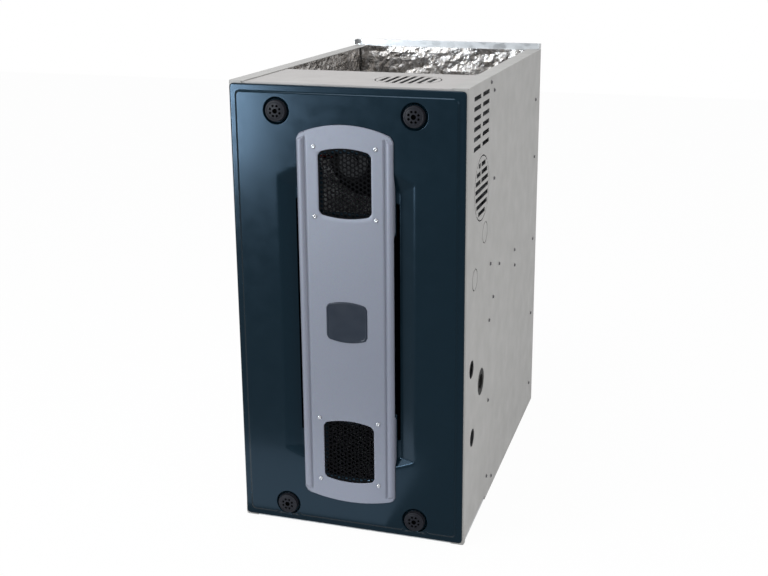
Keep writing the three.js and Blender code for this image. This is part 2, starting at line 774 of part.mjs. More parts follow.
const bezelFace = bezelFront + ribHeight;
const grilleBack = doorFace - seam;
function centreBezel() {
  const outline = (inset) => archShape(bezelHalfWidth - inset, bezelLow + inset, bezelHigh - inset,
    bezelRise, bezelSag, 12);
  let solid = prism('y', outline(0), bezelFace, grilleBack);
  solid = solid.subtract(prism('y', outline(sheet), bezelFace + bezelSheet, grilleBack + 5));
  [-1, 1].forEach((side) => {
    const [o, i] = [bezelHalfWidth * side, (bezelHalfWidth - ribWidth) * side];
    const [x0, x1] = [Math.min(o, i), Math.max(o, i)];
    const low = bezelLow + ribEndInset;
    const high = bezelHigh - ribEndInset;
    solid = solid.add(block(x0, x1, bezelFront, bezelFace + overlap, low, high));
    const w = (bezelHalfWidth - sheet) * side;
    const floor = doorFace + recessDepth - seam;
    [[recessLow + recessEndBevel + 6, inletLow - 5], [inletHigh + 5, recessHigh - recessEndBevel - 6]]
      .forEach(([z0, z1]) => {
        solid = solid.add(block(Math.min(o, w), Math.max(o, w), bezelFace + overlap, floor, z0, z1));
      });
    solid = solid.subtract(block(Math.min(o, w) - (side < 0 ? 1 : 0), Math.max(o, w) + (side > 0 ? 1 : 0),
      bezelFace + bezelSheet, grilleBack + 5, inletLow - 5, inletHigh + 5));
  });
  const opening = (low, high) => prism('y', archShape(windowHalfWidth, low, high, windowRise, windowSag),
    bezelFront - 5, doorFace + 20);
  return without(solid, [opening(upperWindowLow, upperWindowHigh),
    opening(lowerWindowLow, lowerWindowHigh)]);
}
piece(door, 'centre_bezel', centreBezel(), finish.satinSilver);

// A grille plate: hexagonal holes in staggered columns, kept inside the window's outline.
function grille(low, high) {
  const plate = prism('y', archShape(windowHalfWidth + grilleFlange, low - grilleFlange,
    high + grilleFlange, windowRise, windowSag), grilleBack - grilleSheet, grilleBack);
  const holeRadius = (grillePitch - grilleBar) / Math.sqrt(3);
  const columnPitch = (grillePitch * Math.sqrt(3)) / 2;
  const holes = [];
  const columns = Math.floor((windowHalfWidth - holeRadius) / columnPitch);
  const middle = (low + high) / 2;
  const rows = Math.ceil((high - low) / grillePitch);
  for (let c = -columns; c <= columns; c += 1) {
    const shift = c % 2 === 0 ? 0 : grillePitch / 2;
    for (let r = -rows; r <= rows; r += 1) {
      const z = middle + r * grillePitch + shift;
      if (z - low < holeRadius - windowSag / 2 || high - z < holeRadius - windowRise / 2) continue;
      const hex = new THREE.Shape();
      for (let k = 0; k < 6; k += 1) {
        const a = (k * Math.PI) / 3;
        const [px, pz] = [c * columnPitch + holeRadius * Math.cos(a), z + holeRadius * Math.sin(a)];
        if (k === 0) hex.moveTo(px, pz);
        else hex.lineTo(px, pz);
      }
      holes.push(prism('y', hex, grilleBack - grilleSheet - 1, grilleBack + 1));
    }
  }
  return without(plate, holes);
}
piece(door, 'upper_grille', grille(upperWindowLow, upperWindowHigh), finish.blackMesh);
piece(door, 'lower_grille', grille(lowerWindowLow, lowerWindowHigh), finish.blackMesh);

piece(door, 'badge_plate', prism('y', archShape(badgeHalfWidth, badgeLow, badgeHigh, badgeArch, badgeArch),
  bezelFace - seam - badgeSheet, bezelFace - seam), finish.slate);

// A quarter-turn knob: domed head in the dimple, stud through the door and a cross cam behind.
function doorKnob() {
  const back = dimpleDepth - seam;
  const crown = bezelFront - doorFace;
  const profile = [[0, back], [knobRadius, back], [knobRadius, back - knobLip],
    [knobRadius * 0.86, crown + 1.6], [knobRadius * 0.5, crown + 0.4], [knobRadius * 0.28, crown],
    [knobRadius * 0.2, crown + 2.5], [0, crown + 2.5]];
  const camStart = railFront + sheet + camClearance - doorFace;
  const stud = rod('y', studRadius, back - 1, camStart + camThickness, [0, 0, 0], 10);
  const cam = block(-camHalfHeight, camHalfHeight, camStart, camStart + camThickness, -camHalfLength,
    camHalfLength);
  return joined([turned('y', profile, 16), stud, cam]);
}
['upper_left', 'upper_right', 'lower_left', 'lower_right'].forEach((where, i) => {
  const [x, z] = knobPlaces[i];
  piece(door, `knob_${where}`, doorKnob(), finish.blackPlastic, [x, doorFace, z]);
});

// ---- combustion side --------------------------------------------------------------------------
// One heat exchanger cell: a tube that runs back and forth, with its bore open. Both ends meet the
// vestibule, so the passes are even in number, and as many as fit between burners and flue.
function exchangerCell() {
  const bend = passPitch / 2;
  const start = vestibuleY + sheet + seam;
  const steps = 3;
  const stationsFor = (from) => {
    const stations = [new THREE.Vector3(0, from, 0)];
    for (let p = 0; p < passes - 1; p += 1) {
      const rear = p % 2 === 0;
      const centreY = rear ? rearBendY : frontBendY;
      for (let s = 0; s <= steps; s += 1) {
        const a = -Math.PI / 2 + (Math.PI * s) / steps;
        const y = centreY + (rear ? 1 : -1) * bend * Math.cos(a);
        stations.push(new THREE.Vector3(0, y, passPitch * p + bend + bend * Math.sin(a)));
      }
    }
    stations.push(new THREE.Vector3(0, from, passPitch * (passes - 1)));
    return stations;
  };
  const outer = tube(stationsFor(start), tubeRadius);
  return outer.subtract(tube(stationsFor(start - 5), tubeRadius - tubeWall));
}
for (let i = 0; i < cellCount; i += 1) {
  piece(combustion, `exchanger_cell_${i + 1}`, exchangerCell(), finish.aluminised,
    [cellX(i), 0, burnerZ]);
}

const collectorRear = vestibuleY - seam;
const collectorFront = collectorRear - collectorDepth;
function collectorBox() {
  const half = collectorHeight / 2;
  const shell = block(-collectorHalfWidth, collectorHalfWidth, collectorFront, collectorRear,
    flueZ - half, flueZ + half);
  const hollow = block(-collectorHalfWidth + sheet, collectorHalfWidth - sheet, collectorFront + sheet,
    collectorRear + 5, flueZ - half + sheet, flueZ + half - sheet);
  return without(shell, [hollow, rod('y', inducerInlet, collectorFront - 5, collectorFront + 5,
    [0, 0, flueZ], 16)]);
}
piece(combustion, 'flue_collector', collectorBox(), finish.aluminised);

// The outline of a scroll about the origin: a spiral from its tongue to its full reach, then
// a straight throat up to the outlet.
function scrollShape(tongue, reach, startAngle, direction, throatInner, top, inset, steps) {
  const shape = new THREE.Shape();
  const sweep = direction > 0 ? 2 * Math.PI - startAngle : startAngle + Math.PI;
  for (let i = 0; i <= steps; i += 1) {
    const a = startAngle + (direction * sweep * i) / steps;
    const r = tongue + ((reach - tongue) * i) / steps - inset;
    const [x, z] = [r * Math.cos(a), r * Math.sin(a)];
    if (i === 0) shape.moveTo(throatInner + direction * inset, z);
    else shape.lineTo(x, z);
  }
  shape.lineTo(direction * (reach - inset), top);
  shape.lineTo(throatInner + direction * inset, top);
  shape.closePath();
  return shape;
}

const inducerRear = collectorFront - seam;
const inducerFront = inducerRear - inducerThickness;
const inducerWall = 2;
const outletLeft = inducerReach - inducerOutletWidth;
const inducerTop = flueZ + inducerOutletTop;
function inducerHousing() {
  const angle = Math.acos(outletLeft / inducerTongue);
  const outline = (inset, top) => scrollShape(inducerTongue, inducerReach, angle, 1, outletLeft, top,
    inset, 16);
  const shell = prism('y', outline(0, inducerOutletTop), inducerFront, inducerRear);
  const hollow = prism('y', outline(inducerWall, inducerOutletTop + 5), inducerFront + inducerWall,
    inducerRear - inducerWall);
  return without(shell, [hollow, rod('y', inducerInlet, inducerRear - 5, inducerRear + 5, [0, 0, 0], 16),
    rod('y', 8, inducerFront - 5, inducerFront + 5, [0, 0, 0], 12)]);
}
piece(combustion, 'inducer_housing', inducerHousing(), finish.blackPlastic, [0, 0, flueZ]);

function inducerMotor() {
  const rear = -inducerMotorGap;
  const front = rear - inducerMotorLength;
  const profile = [[0, rear], [inducerMotorRadius * 0.8, rear], [inducerMotorRadius, rear - 6],
    [inducerMotorRadius, front + 8], [inducerMotorRadius * 0.72, front], [12, front], [11, front - 4],
    [0, front - 4]];
  const parts = [turned('y', profile, 16),
    rod('y', 4, rear - 1, inducerThickness - 20, [0, 0, 0], 10)];
  for (let i = 0; i < 3; i += 1) {
    const a = Math.PI / 2 + (i * 2 * Math.PI) / 3;
    const r = inducerMotorRadius * 0.72;
    parts.push(rod('y', 4, rear - 4, -seam, [r * Math.cos(a), 0, r * Math.sin(a)], 8));
  }
  return joined(parts);
}
piece(combustion, 'inducer_motor', inducerMotor(), finish.motorBlack, [0, inducerFront, flueZ]);

function inducerWheel() {
  const half = inducerWheelWidth / 2;
  const plate = ring('y', inducerWheelRadius, 4 + runningGap, -half, -half + 2, [0, 0, 0], 18);
  const hub = ring('y', 10, 4 + runningGap, -half, half - 4, [0, 0, 0], 10);
  const parts = [plate, hub];
  for (let i = 0; i < inducerBlades; i += 1) {
    const a = (i * 2 * Math.PI) / inducerBlades;
    const blade = new THREE.BoxGeometry(inducerWheelRadius - 22, inducerWheelWidth - 1, 1.5);
    blade.rotateY(0.5);
    blade.translate((inducerWheelRadius + 16) / 2, 0.5, 0);
    blade.rotateY(a);
    parts.push(solidOf(blade));
  }
  return joined(parts);
}
piece(combustion, 'inducer_wheel', inducerWheel(), finish.darkSteel,
  [0, (inducerFront + inducerRear) / 2 + 3, flueZ]);

// The vent collar: a square-to-round transition on the scroll's outlet, with a straight round
// neck under the middle of the top knockout.
function ventCollar() {
  const sides = 16;
  const base = inducerTop + seam;
  const neck = base + collarTransition;
  const top = coverUnder - collarTopGap;
  const around = (reach) => {
    const points = [];
    for (let i = 0; i < sides; i += 1) {
      const a = (2 * Math.PI * (i + 0.5)) / sides;
      points.push(reach(Math.cos(a), Math.sin(a)));
    }
    return points;
  };
  const square = (inset) => around((c, s) => {
    const [hx, hy] = [inducerOutletWidth / 2 - inset, inducerThickness / 2 - inset];
    const k = Math.min(hx / Math.abs(c), hy / Math.abs(s));
    return new THREE.Vector2(outletLeft + inducerOutletWidth / 2 + k * c,
      (inducerFront + inducerRear) / 2 + k * s);
  });
  const round = (radius) => around((c, s) => new THREE.Vector2(topVentX + radius * c,
    fromFace(topVentDepth) + radius * s));
  const outer = loft('z', [square(0), round(collarRadius), round(collarRadius)], [base, neck, top]);
  const bore = collarRadius - sheet;
  const inner = loft('z', [square(sheet), square(sheet), round(bore), round(bore)],
    [base - 1, base, neck, top + 1]);
  return outer.subtract(inner);
}
piece(combustion, 'vent_collar', ventCollar(), finish.galvanised);

const burnerRear = vestibuleY - flameGap;
function burner() {
  const front = -burnerLength;
  const wall = 1.2;
  const throatEnd = front + venturiEnd + throatLength;
  const outline = [[burnerMouth, front], [burnerMouth, front + venturiStart],
    [burnerThroat, front + venturiEnd], [burnerThroat, throatEnd], [burnerHead, -headLength],
    [burnerHead, 0]];
  const inside = outline.map(([r, y]) => [r - wall, y]).reverse();
  return turned('y', [...outline, ...inside, outline[0]], 10);
}
for (let i = 0; i < cellCount; i += 1) {
  piece(combustion, `burner_${i + 1}`, burner(), finish.aluminised, [cellX(i), burnerRear, burnerZ]);
}

const boxRear = vestibuleY - seam;
const boxFront = boxRear - burnerBoxDepth;
const boxLow = burnerZ - burnerBoxHeight / 2;
const boxHigh = burnerZ + burnerBoxHeight / 2;
function burnerBox() {
  const w = burnerBoxHalfWidth;
  const parts = [
    block(-w, w, boxFront, boxRear, boxLow, boxLow + sheet),
    block(-w, w, boxFront, boxFront + sheet, boxLow, boxHigh),
    block(-w, -w + sheet, boxFront, boxRear, boxLow, boxHigh),
    block(w - sheet, w, boxFront, boxRear, boxLow, boxHigh),
  ];
  const cuts = [];
  for (let i = 0; i < cellCount; i += 1) {
    cuts.push(rod('y', burnerMouth + runningGap, boxFront - 5, boxFront + 5, [cellX(i), 0, burnerZ], 12));
  }
  [-1, 1].forEach((side) => {
    cuts.push(rod('x', 4, Math.min(side * (w - 5), side * (w + 5)), Math.max(side * (w - 5), side * (w + 5)),
      [0, boxRear - flameGap / 2, burnerZ], 10));
  });
  return without(joined(parts), cuts);
}
piece(combustion, 'burner_box', burnerBox(), finish.galvanised);

const manifoldY = boxFront - manifoldOffset;
const valveX = cellX(cellCount - 1) - cellPitch / 4;
const valveTop = burnerZ - valveDrop;
function gasManifold() {
  const half = collectorHalfWidth;
  const parts = [rod('x', manifoldRadius, -half, half, [0, 0, 0], 14),
    rod('z', manifoldRadius - 2, valveTop + seam - burnerZ, 0, [valveX, 0, 0], 12)];
  for (let i = 0; i < cellCount; i += 1) {
    parts.push(rod('y', 4, 0, manifoldOffset - 10, [cellX(i), 0, 0], 8));
  }
  [-1, 1].forEach((side) => {
    const x = side * (half - 3);
    parts.push(block(x - 1.5, x + 1.5, 0, manifoldOffset - seam, -8, 8));
  });
  return joined(parts);
}
piece(combustion, 'gas_manifold', gasManifold(), finish.darkSteel, [0, manifoldY, burnerZ]);

const valveFront = manifoldY - valveDepth / 2;
function gasValve() {
  const body = block(-valveHalf, valveHalf, 0, valveDepth, -valveHeight, 0);
  const regulator = rod('z', 12, -1, regulatorReach, [-22, valveDepth / 2, 0], 12);
  const coil = block(-valveHalf - 12, -valveHalf + 1, 12, valveDepth - 12, -valveHeight + 10, -10);
  const inlet = rod('z', 15, -valveHeight - valveInletReach, -valveHeight + 1,
    [0, valveDepth / 2, 0], 6);
  return joined([body, regulator, coil, inlet]);
}
piece(combustion, 'gas_valve', gasValve(), finish.castAlloy, [valveX, valveFront, valveTop]);

function valveKnob() {
  const disc = turned('y', [[0, 0], [15, 0], [15, -7], [12, -9], [0, -9]], 18, [0, -seam, 0]);
  return disc.add(block(-2.5, 2.5, -valveKnobReach, -8, -13, 13));
}
piece(combustion, 'gas_valve_knob', valveKnob(), finish.wireRed,
  [valveX, valveFront, valveTop - valveHeight / 2]);

function igniter() {
  const holder = block(seam, 16, -8, 8, -7, 7);
  const stem = rod('x', 3, -12, 2, [0, 0, 0], 8);
  const blade = block(-26, -11, -1.5, 1.5, -4, 4);
  return joined([holder, stem, blade]);
}
piece(combustion, 'igniter', igniter(), finish.ceramic,
  [burnerBoxHalfWidth, boxRear - flameGap / 2, burnerZ]);

function flameSensor() {
  const holder = block(-14, -seam, -6, 6, -6, 6);
  return holder.add(rod('x', 2.4, -2, 24, [0, 0, 0], 8));
}
piece(combustion, 'flame_sensor', flameSensor(), finish.ceramic,
  [-burnerBoxHalfWidth, boxRear - flameGap / 2, burnerZ]);

function discSwitch(radius) {
  const profile = [[0, -16], [radius * 0.55, -16], [radius * 0.55, -9], [radius, -9], [radius, -2],
    [radius * 0.8, -2], [radius * 0.8, 0], [0, 0]];
  return turned('y', profile, 14);
}
piece(combustion, 'limit_switch', discSwitch(12), finish.blackPlastic,
  [limitSwitchX, vestibuleY - seam, (burnerZ + flueZ) / 2]);
piece(combustion, 'rollout_switch', discSwitch(11), finish.blackPlastic,
  [0, boxFront - seam, boxHigh - 12]);

const pressureSwitchAt = [pressureSwitchX, vestibuleY - seam, caseHeight - pressureSwitchDrop];
function pressureSwitch() {
  const [rim, cup, cap] = [diaphragmRadius, diaphragmRadius - 10, diaphragmRadius / 4.5];
  const front = -diaphragmDepth;
  const middle = front / 2 + 1;
  const profile = [[0, front], [cap, front], [cap, front + 8], [cup, front + 10], [rim, middle - 4],
    [rim, middle + 4], [cup, middle + 8], [cup, 0], [0, 0]];
  const barb = rod('z', 3, -barbReach, -rim + 16, [0, middle, 0], 8);
  return turned('y', profile, 16).add(barb);
}
piece(combustion, 'pressure_switch', pressureSwitch(), finish.blackPlastic, pressureSwitchAt);

function pressureHose() {
  const [x, y, z] = pressureSwitchAt;
  const startZ = z - barbReach - seam;
  const switchY = y - diaphragmDepth / 2 + 1;
  const angle = Math.acos(outletLeft / inducerTongue);
  const growth = (inducerReach - inducerTongue) / (2 * Math.PI - angle);
  const endX = -(inducerTongue + growth * (Math.PI - angle)) - 1.5;
  const endY = inducerFront + 16;
  const bends = [new THREE.Vector3(x, switchY, startZ), new THREE.Vector3(x, switchY, startZ - 12),
    new THREE.Vector3(x, y - 22, startZ - 26), new THREE.Vector3(x, y - 42, startZ - 37),
    new THREE.Vector3(x + 14, endY + 14, flueZ), new THREE.Vector3(x + 38, endY, flueZ),
    new THREE.Vector3(endX, endY, flueZ)];
  return tube(new THREE.CatmullRomCurve3(bends).getPoints(14), hoseRadius, 8);
}
piece(combustion, 'pressure_hose', pressureHose(), finish.hoseSilicone);

// ---- air side ---------------------------------------------------------------------------------
function blowerHousing() {
  const top = deckZ - sheet - seam - blowerZ;
  const outline = (inset, height) => scrollShape(housingTongue, housingReach, Math.PI / 2, -1, 0, height,
    inset, 18);
  const shell = prism('x', outline(0, top), -housingHalfWidth, housingHalfWidth);
  const lipWidth = 14;
  const lip = block(-housingHalfWidth - lipWidth, housingHalfWidth + lipWidth, -housingReach - lipWidth,
    lipWidth, top - sheet, top);
  const hollow = prism('x', outline(sheet, top + 5), -housingHalfWidth + sheet, housingHalfWidth - sheet);
  const inlet = rod('x', housingInlet, -housingHalfWidth - 5, housingHalfWidth + 5, [0, 0, 0], 24);
  const inletOnly = without(inlet, [prism('x', outline(sheet, top), -housingHalfWidth + sheet,
    housingHalfWidth - sheet)]);
  return without(shell.add(lip), [hollow, inletOnly]);
}
piece(airSide, 'blower_housing', blowerHousing(), finish.galvanised, [0, blowerY, blowerZ]);

// The blower wheel: forward-curved blades between two rims, on a centre web with a hub.
function blowerWheel() {
  const half = wheelWidth / 2;
  const inner = wheelRadius - bladeDepth;
  const rimSheet = 3;
  const bore = shaftRadius + runningGap;
  const parts = [ring('x', wheelRadius, bore, -1, 1, [0, 0, 0], 26),
    ring('x', 16, bore, -13, 13, [0, 0, 0], 14)];
  [-1, 1].forEach((side) => {
    const [a, b] = [side * half, side * (half - rimSheet)];
    parts.push(ring('x', wheelRadius, inner - 2, Math.min(a, b), Math.max(a, b), [0, 0, 0], 26));
  });
  const tip = wheelRadius - 3;
  const sweep = bladeDepth * 0.5;
  const blade = new THREE.Shape([
    new THREE.Vector2(inner, 0),
    new THREE.Vector2(tip, sweep),
    new THREE.Vector2(tip - bladeThickness, sweep + bladeThickness),
    new THREE.Vector2(inner, bladeThickness),
  ]);
  const span = wheelWidth - rimSheet;
  for (let i = 0; i < wheelBlades; i += 1) {
    const geometry = new THREE.ExtrudeGeometry(blade, { depth: span, bevelEnabled: false });
    geometry.translate(0, 0, -span / 2);
    geometry.applyMatrix4(new THREE.Matrix4().makeBasis(...AXES.x));
    geometry.rotateX((i * 2 * Math.PI) / wheelBlades);
    parts.push(solidOf(geometry));
  }
  return joined(parts);
}
piece(airSide, 'blower_wheel', blowerWheel(), finish.galvanised, [0, blowerY, blowerZ]);

function blowerMotor() {
  const profile = [[0, motorStart], [motorRadius * 0.55, motorStart], [motorRadius, motorStart + 14],
    [motorRadius, motorEnd - 14], [motorRadius * 0.6, motorEnd], [0, motorEnd]];
  return turned('x', profile, 24).add(rod('x', shaftRadius, -14, motorStart + 2, [0, 0, 0], 14));
}
piece(airSide, 'blower_motor', blowerMotor(), finish.motorBlack, [0, blowerY, blowerZ]);

function motorMount() {
  const bandInner = motorRadius + seam;
  const start = housingHalfWidth + seam;
  const parts = [ring('x', bandInner + 3, bandInner, start, start + 20, [0, 0, 0], 24)];
  for (let i = 0; i < 3; i += 1) {
    const arm = new THREE.BoxGeometry(3, 20, housingInlet + 22 - bandInner - 1);
    arm.translate(start + 1.5, 0, (housingInlet + 22 + bandInner + 1) / 2);
    arm.rotateX((i * 2 * Math.PI) / 3);
    parts.push(solidOf(arm));
  }
  return joined(parts);
}
piece(airSide, 'motor_mount', motorMount(), finish.darkSteel, [0, blowerY, blowerZ]);

// The inner blower door: a flanged sheet that closes the blower opening from the vestibule side.
function blowerDoor() {
  const rear = vestibuleY - seam;
  const front = rear - sheet;
  const [w, low, high] = [blowerDoorHalfWidth, blowerDoorLow, blowerDoorHigh];
  const flange = 15;
  const parts = [
    block(-w, w, front, rear, low, high),
    block(-w, w, front - flange, front + overlap, high - sheet, high),
    block(-w, w, front - flange, front + overlap, low, low + sheet),
    block(-w, -w + sheet, front - flange, front + overlap, low, high),
    block(w - sheet, w, front - flange, front + overlap, low, high),
    block(-handleHalfWidth, handleHalfWidth, front - handleReach, front + overlap, high - handleDrop,
      high - handleDrop + sheet),
    block(-handleHalfWidth, handleHalfWidth, front - handleReach, front - handleReach + sheet,
      high - handleDrop, high - handleDrop + handleLip),
  ];
  return joined(parts);
}
piece(airSide, 'blower_door', blowerDoor(), finish.galvanised);

// ---- controls -----------------------------------------------------------------------------------
const switchRear = vestibuleY + sheet + seam;
function doorSwitch() {
  const body = block(-switchHalf, switchHalf, switchRear, switchRear + switchLength, -switchHalfHeight,
    switchHalfHeight);
  const bore = rod('y', plungerRadius + runningGap, switchRear - 5, switchRear + plungerDepth,
    [0, 0, 0], 12);
  return body.subtract(bore);
}
piece(controls, 'door_switch', doorSwitch(), finish.blackPlastic, [switchX, 0, switchZ]);
piece(controls, 'door_switch_plunger', rod('y', plungerRadius, vestibuleY, switchRear
  + plungerDepth - plungerTravel - seam, [0, 0, 0], 12), finish.ceramic, [switchX, 0, switchZ]);

const bracketX = -innerHalf;
const bracketFront = caseFront + bracketSetback;
const bracketRear = vestibuleY - panelFlange - bracketLip;
const boardBase = bracketX + sheet + seam;
function controlBracket() {
  const plate = block(bracketX, bracketX + sheet, bracketFront, bracketRear, bracketLow, bracketHigh);
  const lip = block(bracketX, bracketX + bracketLip, bracketFront, bracketFront + sheet, bracketLow,
    bracketHigh);
  return plate.add(lip);
}
piece(controls, 'control_bracket', controlBracket(), finish.galvanised);

function controlBoard() {
  const boardMargin = 10;
  const postInset = 6;
  const postRadius = 3;
  const rowEnd = 30;
  const base = boardBase;
  const face = base + boardStandoff + boardThickness - overlap;
  const [y0, y1, z0, z1] = [bracketFront + boardMargin, bracketRear - boardMargin, boardLow, boardHigh];
  const parts = [block(base + boardStandoff, base + boardStandoff + boardThickness, y0, y1, z0, z1)];
  [[y0, z0, 1, 1], [y1, z0, -1, 1], [y0, z1, 1, -1], [y1, z1, -1, -1]].forEach(([y, z, sy, sz]) => {
    const at = [0, y + sy * postInset, z + sz * postInset];
    parts.push(rod('x', postRadius, base, base + boardStandoff + overlap, at, 8));
  });
  const [relayDepth, relayHeight, relayProud] = relaySize;
  relayPlaces.forEach((rise) => {
    parts.push(block(face, face + relayProud, y0 + boardMargin, y0 + boardMargin + relayDepth, z0 + rise,
      z0 + rise + relayHeight));
  });
  parts.push(block(face, face + terminalHeight, y1 - rowEnd, y1 - rowEnd / 2, z0 + rowEnd, z1 - rowEnd));
  parts.push(block(face, face + plugHeight, y0 + boardMargin, y1 - rowEnd - boardMargin, z1 - rowEnd,
    z1 - rowEnd / 2));
  return joined(parts);
}
piece(controls, 'control_board', controlBoard(), finish.boardGreen);

// A frame-mounted transformer: foot, laminated core and coil, each given as depth, height, reach.
function transformer() {
  const yc = (bracketFront + bracketRear) / 2;
  const slab = ([depth, height, reach], from) => block(boardBase + from, boardBase + reach,
    yc - depth / 2, yc + depth / 2, transformerZ - height / 2, transformerZ + height / 2);
  const [, , footHeight] = transformerFoot;
  return joined([slab(transformerFoot, 0), slab(transformerCore, footHeight - overlap),
    slab(transformerCoil, footHeight + panelFlange / 3)]);
}
piece(controls, 'transformer', transformer(), finish.darkSteel);

function junctionBox() {
  const [x0, x1] = [innerHalf - junctionWidth, innerHalf];
  const [y0, y1] = [fromFace(junctionFront), fromFace(junctionFront + junctionDepth)];
  const [z0, z1] = [junctionLow, junctionLow + junctionHeight];
  const shell = block(x0, x1, y0, y1, z0, z1);
  const face = block(x0 - sheet, x0 + overlap, y0 - junctionLap, y1 + junctionLap, z0 - junctionLap,
    z1 + junctionLap);
  return shell.add(face);
}
piece(controls, 'junction_box', junctionBox(), finish.galvanised);

// The harness leaves the board's plug, climbs the left wall and ends at the inducer motor.
function wiringHarness() {
  const plugMargin = 15;
  const x = boardBase + boardStandoff + boardThickness + harnessRadius;
  const y = (bracketFront + bracketRear) / 2 - plugMargin;
  const motorY = inducerFront - inducerMotorGap - inducerMotorLength / 2;
  const motorX = -inducerMotorRadius - seam;
  const start = boardHigh - plugMargin + 2 * seam;
  const climb = flueZ - start;
  const wallY = y + (vestibuleY - panelFlange - y) / 2;
  const turnX = (x + motorX) / 2;
  const points = [new THREE.Vector3(x, y, start), new THREE.Vector3(x, y, start + plugMargin),
    new THREE.Vector3(x, (y + wallY) / 2, start + climb * 0.2),
    new THREE.Vector3(x, wallY, start + climb * 0.45), new THREE.Vector3(x, wallY, start + climb * 0.75),
    new THREE.Vector3(x + (turnX - x) * 0.3, (wallY + motorY) / 2, flueZ - climb * 0.08),
    new THREE.Vector3(turnX, motorY, flueZ), new THREE.Vector3((turnX + motorX) / 2, motorY, flueZ),
    new THREE.Vector3(motorX, motorY, flueZ)];
  return tube(new THREE.CatmullRomCurve3(points).getPoints(20), harnessRadius, 8);
}
piece(controls, 'wiring_harness', wiringHarness(), finish.wireRed);

export default furnace;
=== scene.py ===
import json
import math

import bmesh
import bpy
from bpy.props import FloatProperty, FloatVectorProperty, IntProperty, PointerProperty
from mathutils import Matrix, Vector, noise


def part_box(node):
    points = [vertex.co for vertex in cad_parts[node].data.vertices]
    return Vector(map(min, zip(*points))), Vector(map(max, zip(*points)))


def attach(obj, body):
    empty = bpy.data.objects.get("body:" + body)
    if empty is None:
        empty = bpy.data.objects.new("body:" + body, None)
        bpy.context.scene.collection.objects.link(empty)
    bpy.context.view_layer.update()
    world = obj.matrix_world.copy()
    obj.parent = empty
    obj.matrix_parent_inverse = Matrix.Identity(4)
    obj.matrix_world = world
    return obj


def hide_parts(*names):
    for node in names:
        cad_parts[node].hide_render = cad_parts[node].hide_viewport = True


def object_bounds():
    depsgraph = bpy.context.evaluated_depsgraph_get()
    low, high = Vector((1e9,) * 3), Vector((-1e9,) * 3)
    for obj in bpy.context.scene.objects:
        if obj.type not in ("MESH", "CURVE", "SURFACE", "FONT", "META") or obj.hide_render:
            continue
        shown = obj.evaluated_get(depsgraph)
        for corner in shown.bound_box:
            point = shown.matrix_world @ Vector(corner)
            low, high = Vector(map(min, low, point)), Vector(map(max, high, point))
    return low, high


bl_info = {
    "name": "Forced Air Furnace Dressing",
    "version": (1, 0, 0),
    "blender": (4, 5, 0),
    "location": "3D View > Sidebar > Furnace",
    "description": "Dresses the packed furnace with its pressed door, grilles, liners and finishes",
    "category": "Object",
}

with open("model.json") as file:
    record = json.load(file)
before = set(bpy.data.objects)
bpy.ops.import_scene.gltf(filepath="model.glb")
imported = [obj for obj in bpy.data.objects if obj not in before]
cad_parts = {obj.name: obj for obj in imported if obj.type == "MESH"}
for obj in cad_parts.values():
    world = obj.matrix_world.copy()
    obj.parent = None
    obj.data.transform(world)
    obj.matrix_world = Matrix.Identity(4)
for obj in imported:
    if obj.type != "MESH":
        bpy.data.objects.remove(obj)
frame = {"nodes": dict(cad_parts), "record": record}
CAD_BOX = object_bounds()
MM = 0.001
WHITE = (1.0, 1.0, 1.0, 1.0)
CAMERA_SHIFT = (-0.0431, -0.08)
CAMERA_TARGET = (0.0307, 0.0, 0.5205)

DOOR_LOW, DOOR_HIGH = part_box("door_panel")
BEZEL_LOW, BEZEL_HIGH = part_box("centre_bezel")
SIDE_LOW, SIDE_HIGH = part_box("right_side_panel")
DOOR_FACE = DOOR_LOW.y
CASE_FRONT = SIDE_LOW.y
CASE_SIDE = SIDE_HIGH.x
BODY_OF = {node: body for body, nodes in frame["record"]["behaviour"]["bodies"].items()
           for node in nodes}


# ---- settings ----
def length(name, description, default):
    """A length setting, its default in millimetres."""
    return FloatProperty(name=name, description=description, default=default * MM,
                         subtype="DISTANCE", unit="LENGTH")


def tint(name, description, default):
    return FloatVectorProperty(name=name, description=description, default=default, size=3,
                               min=0.0, max=1.0, subtype="COLOR")


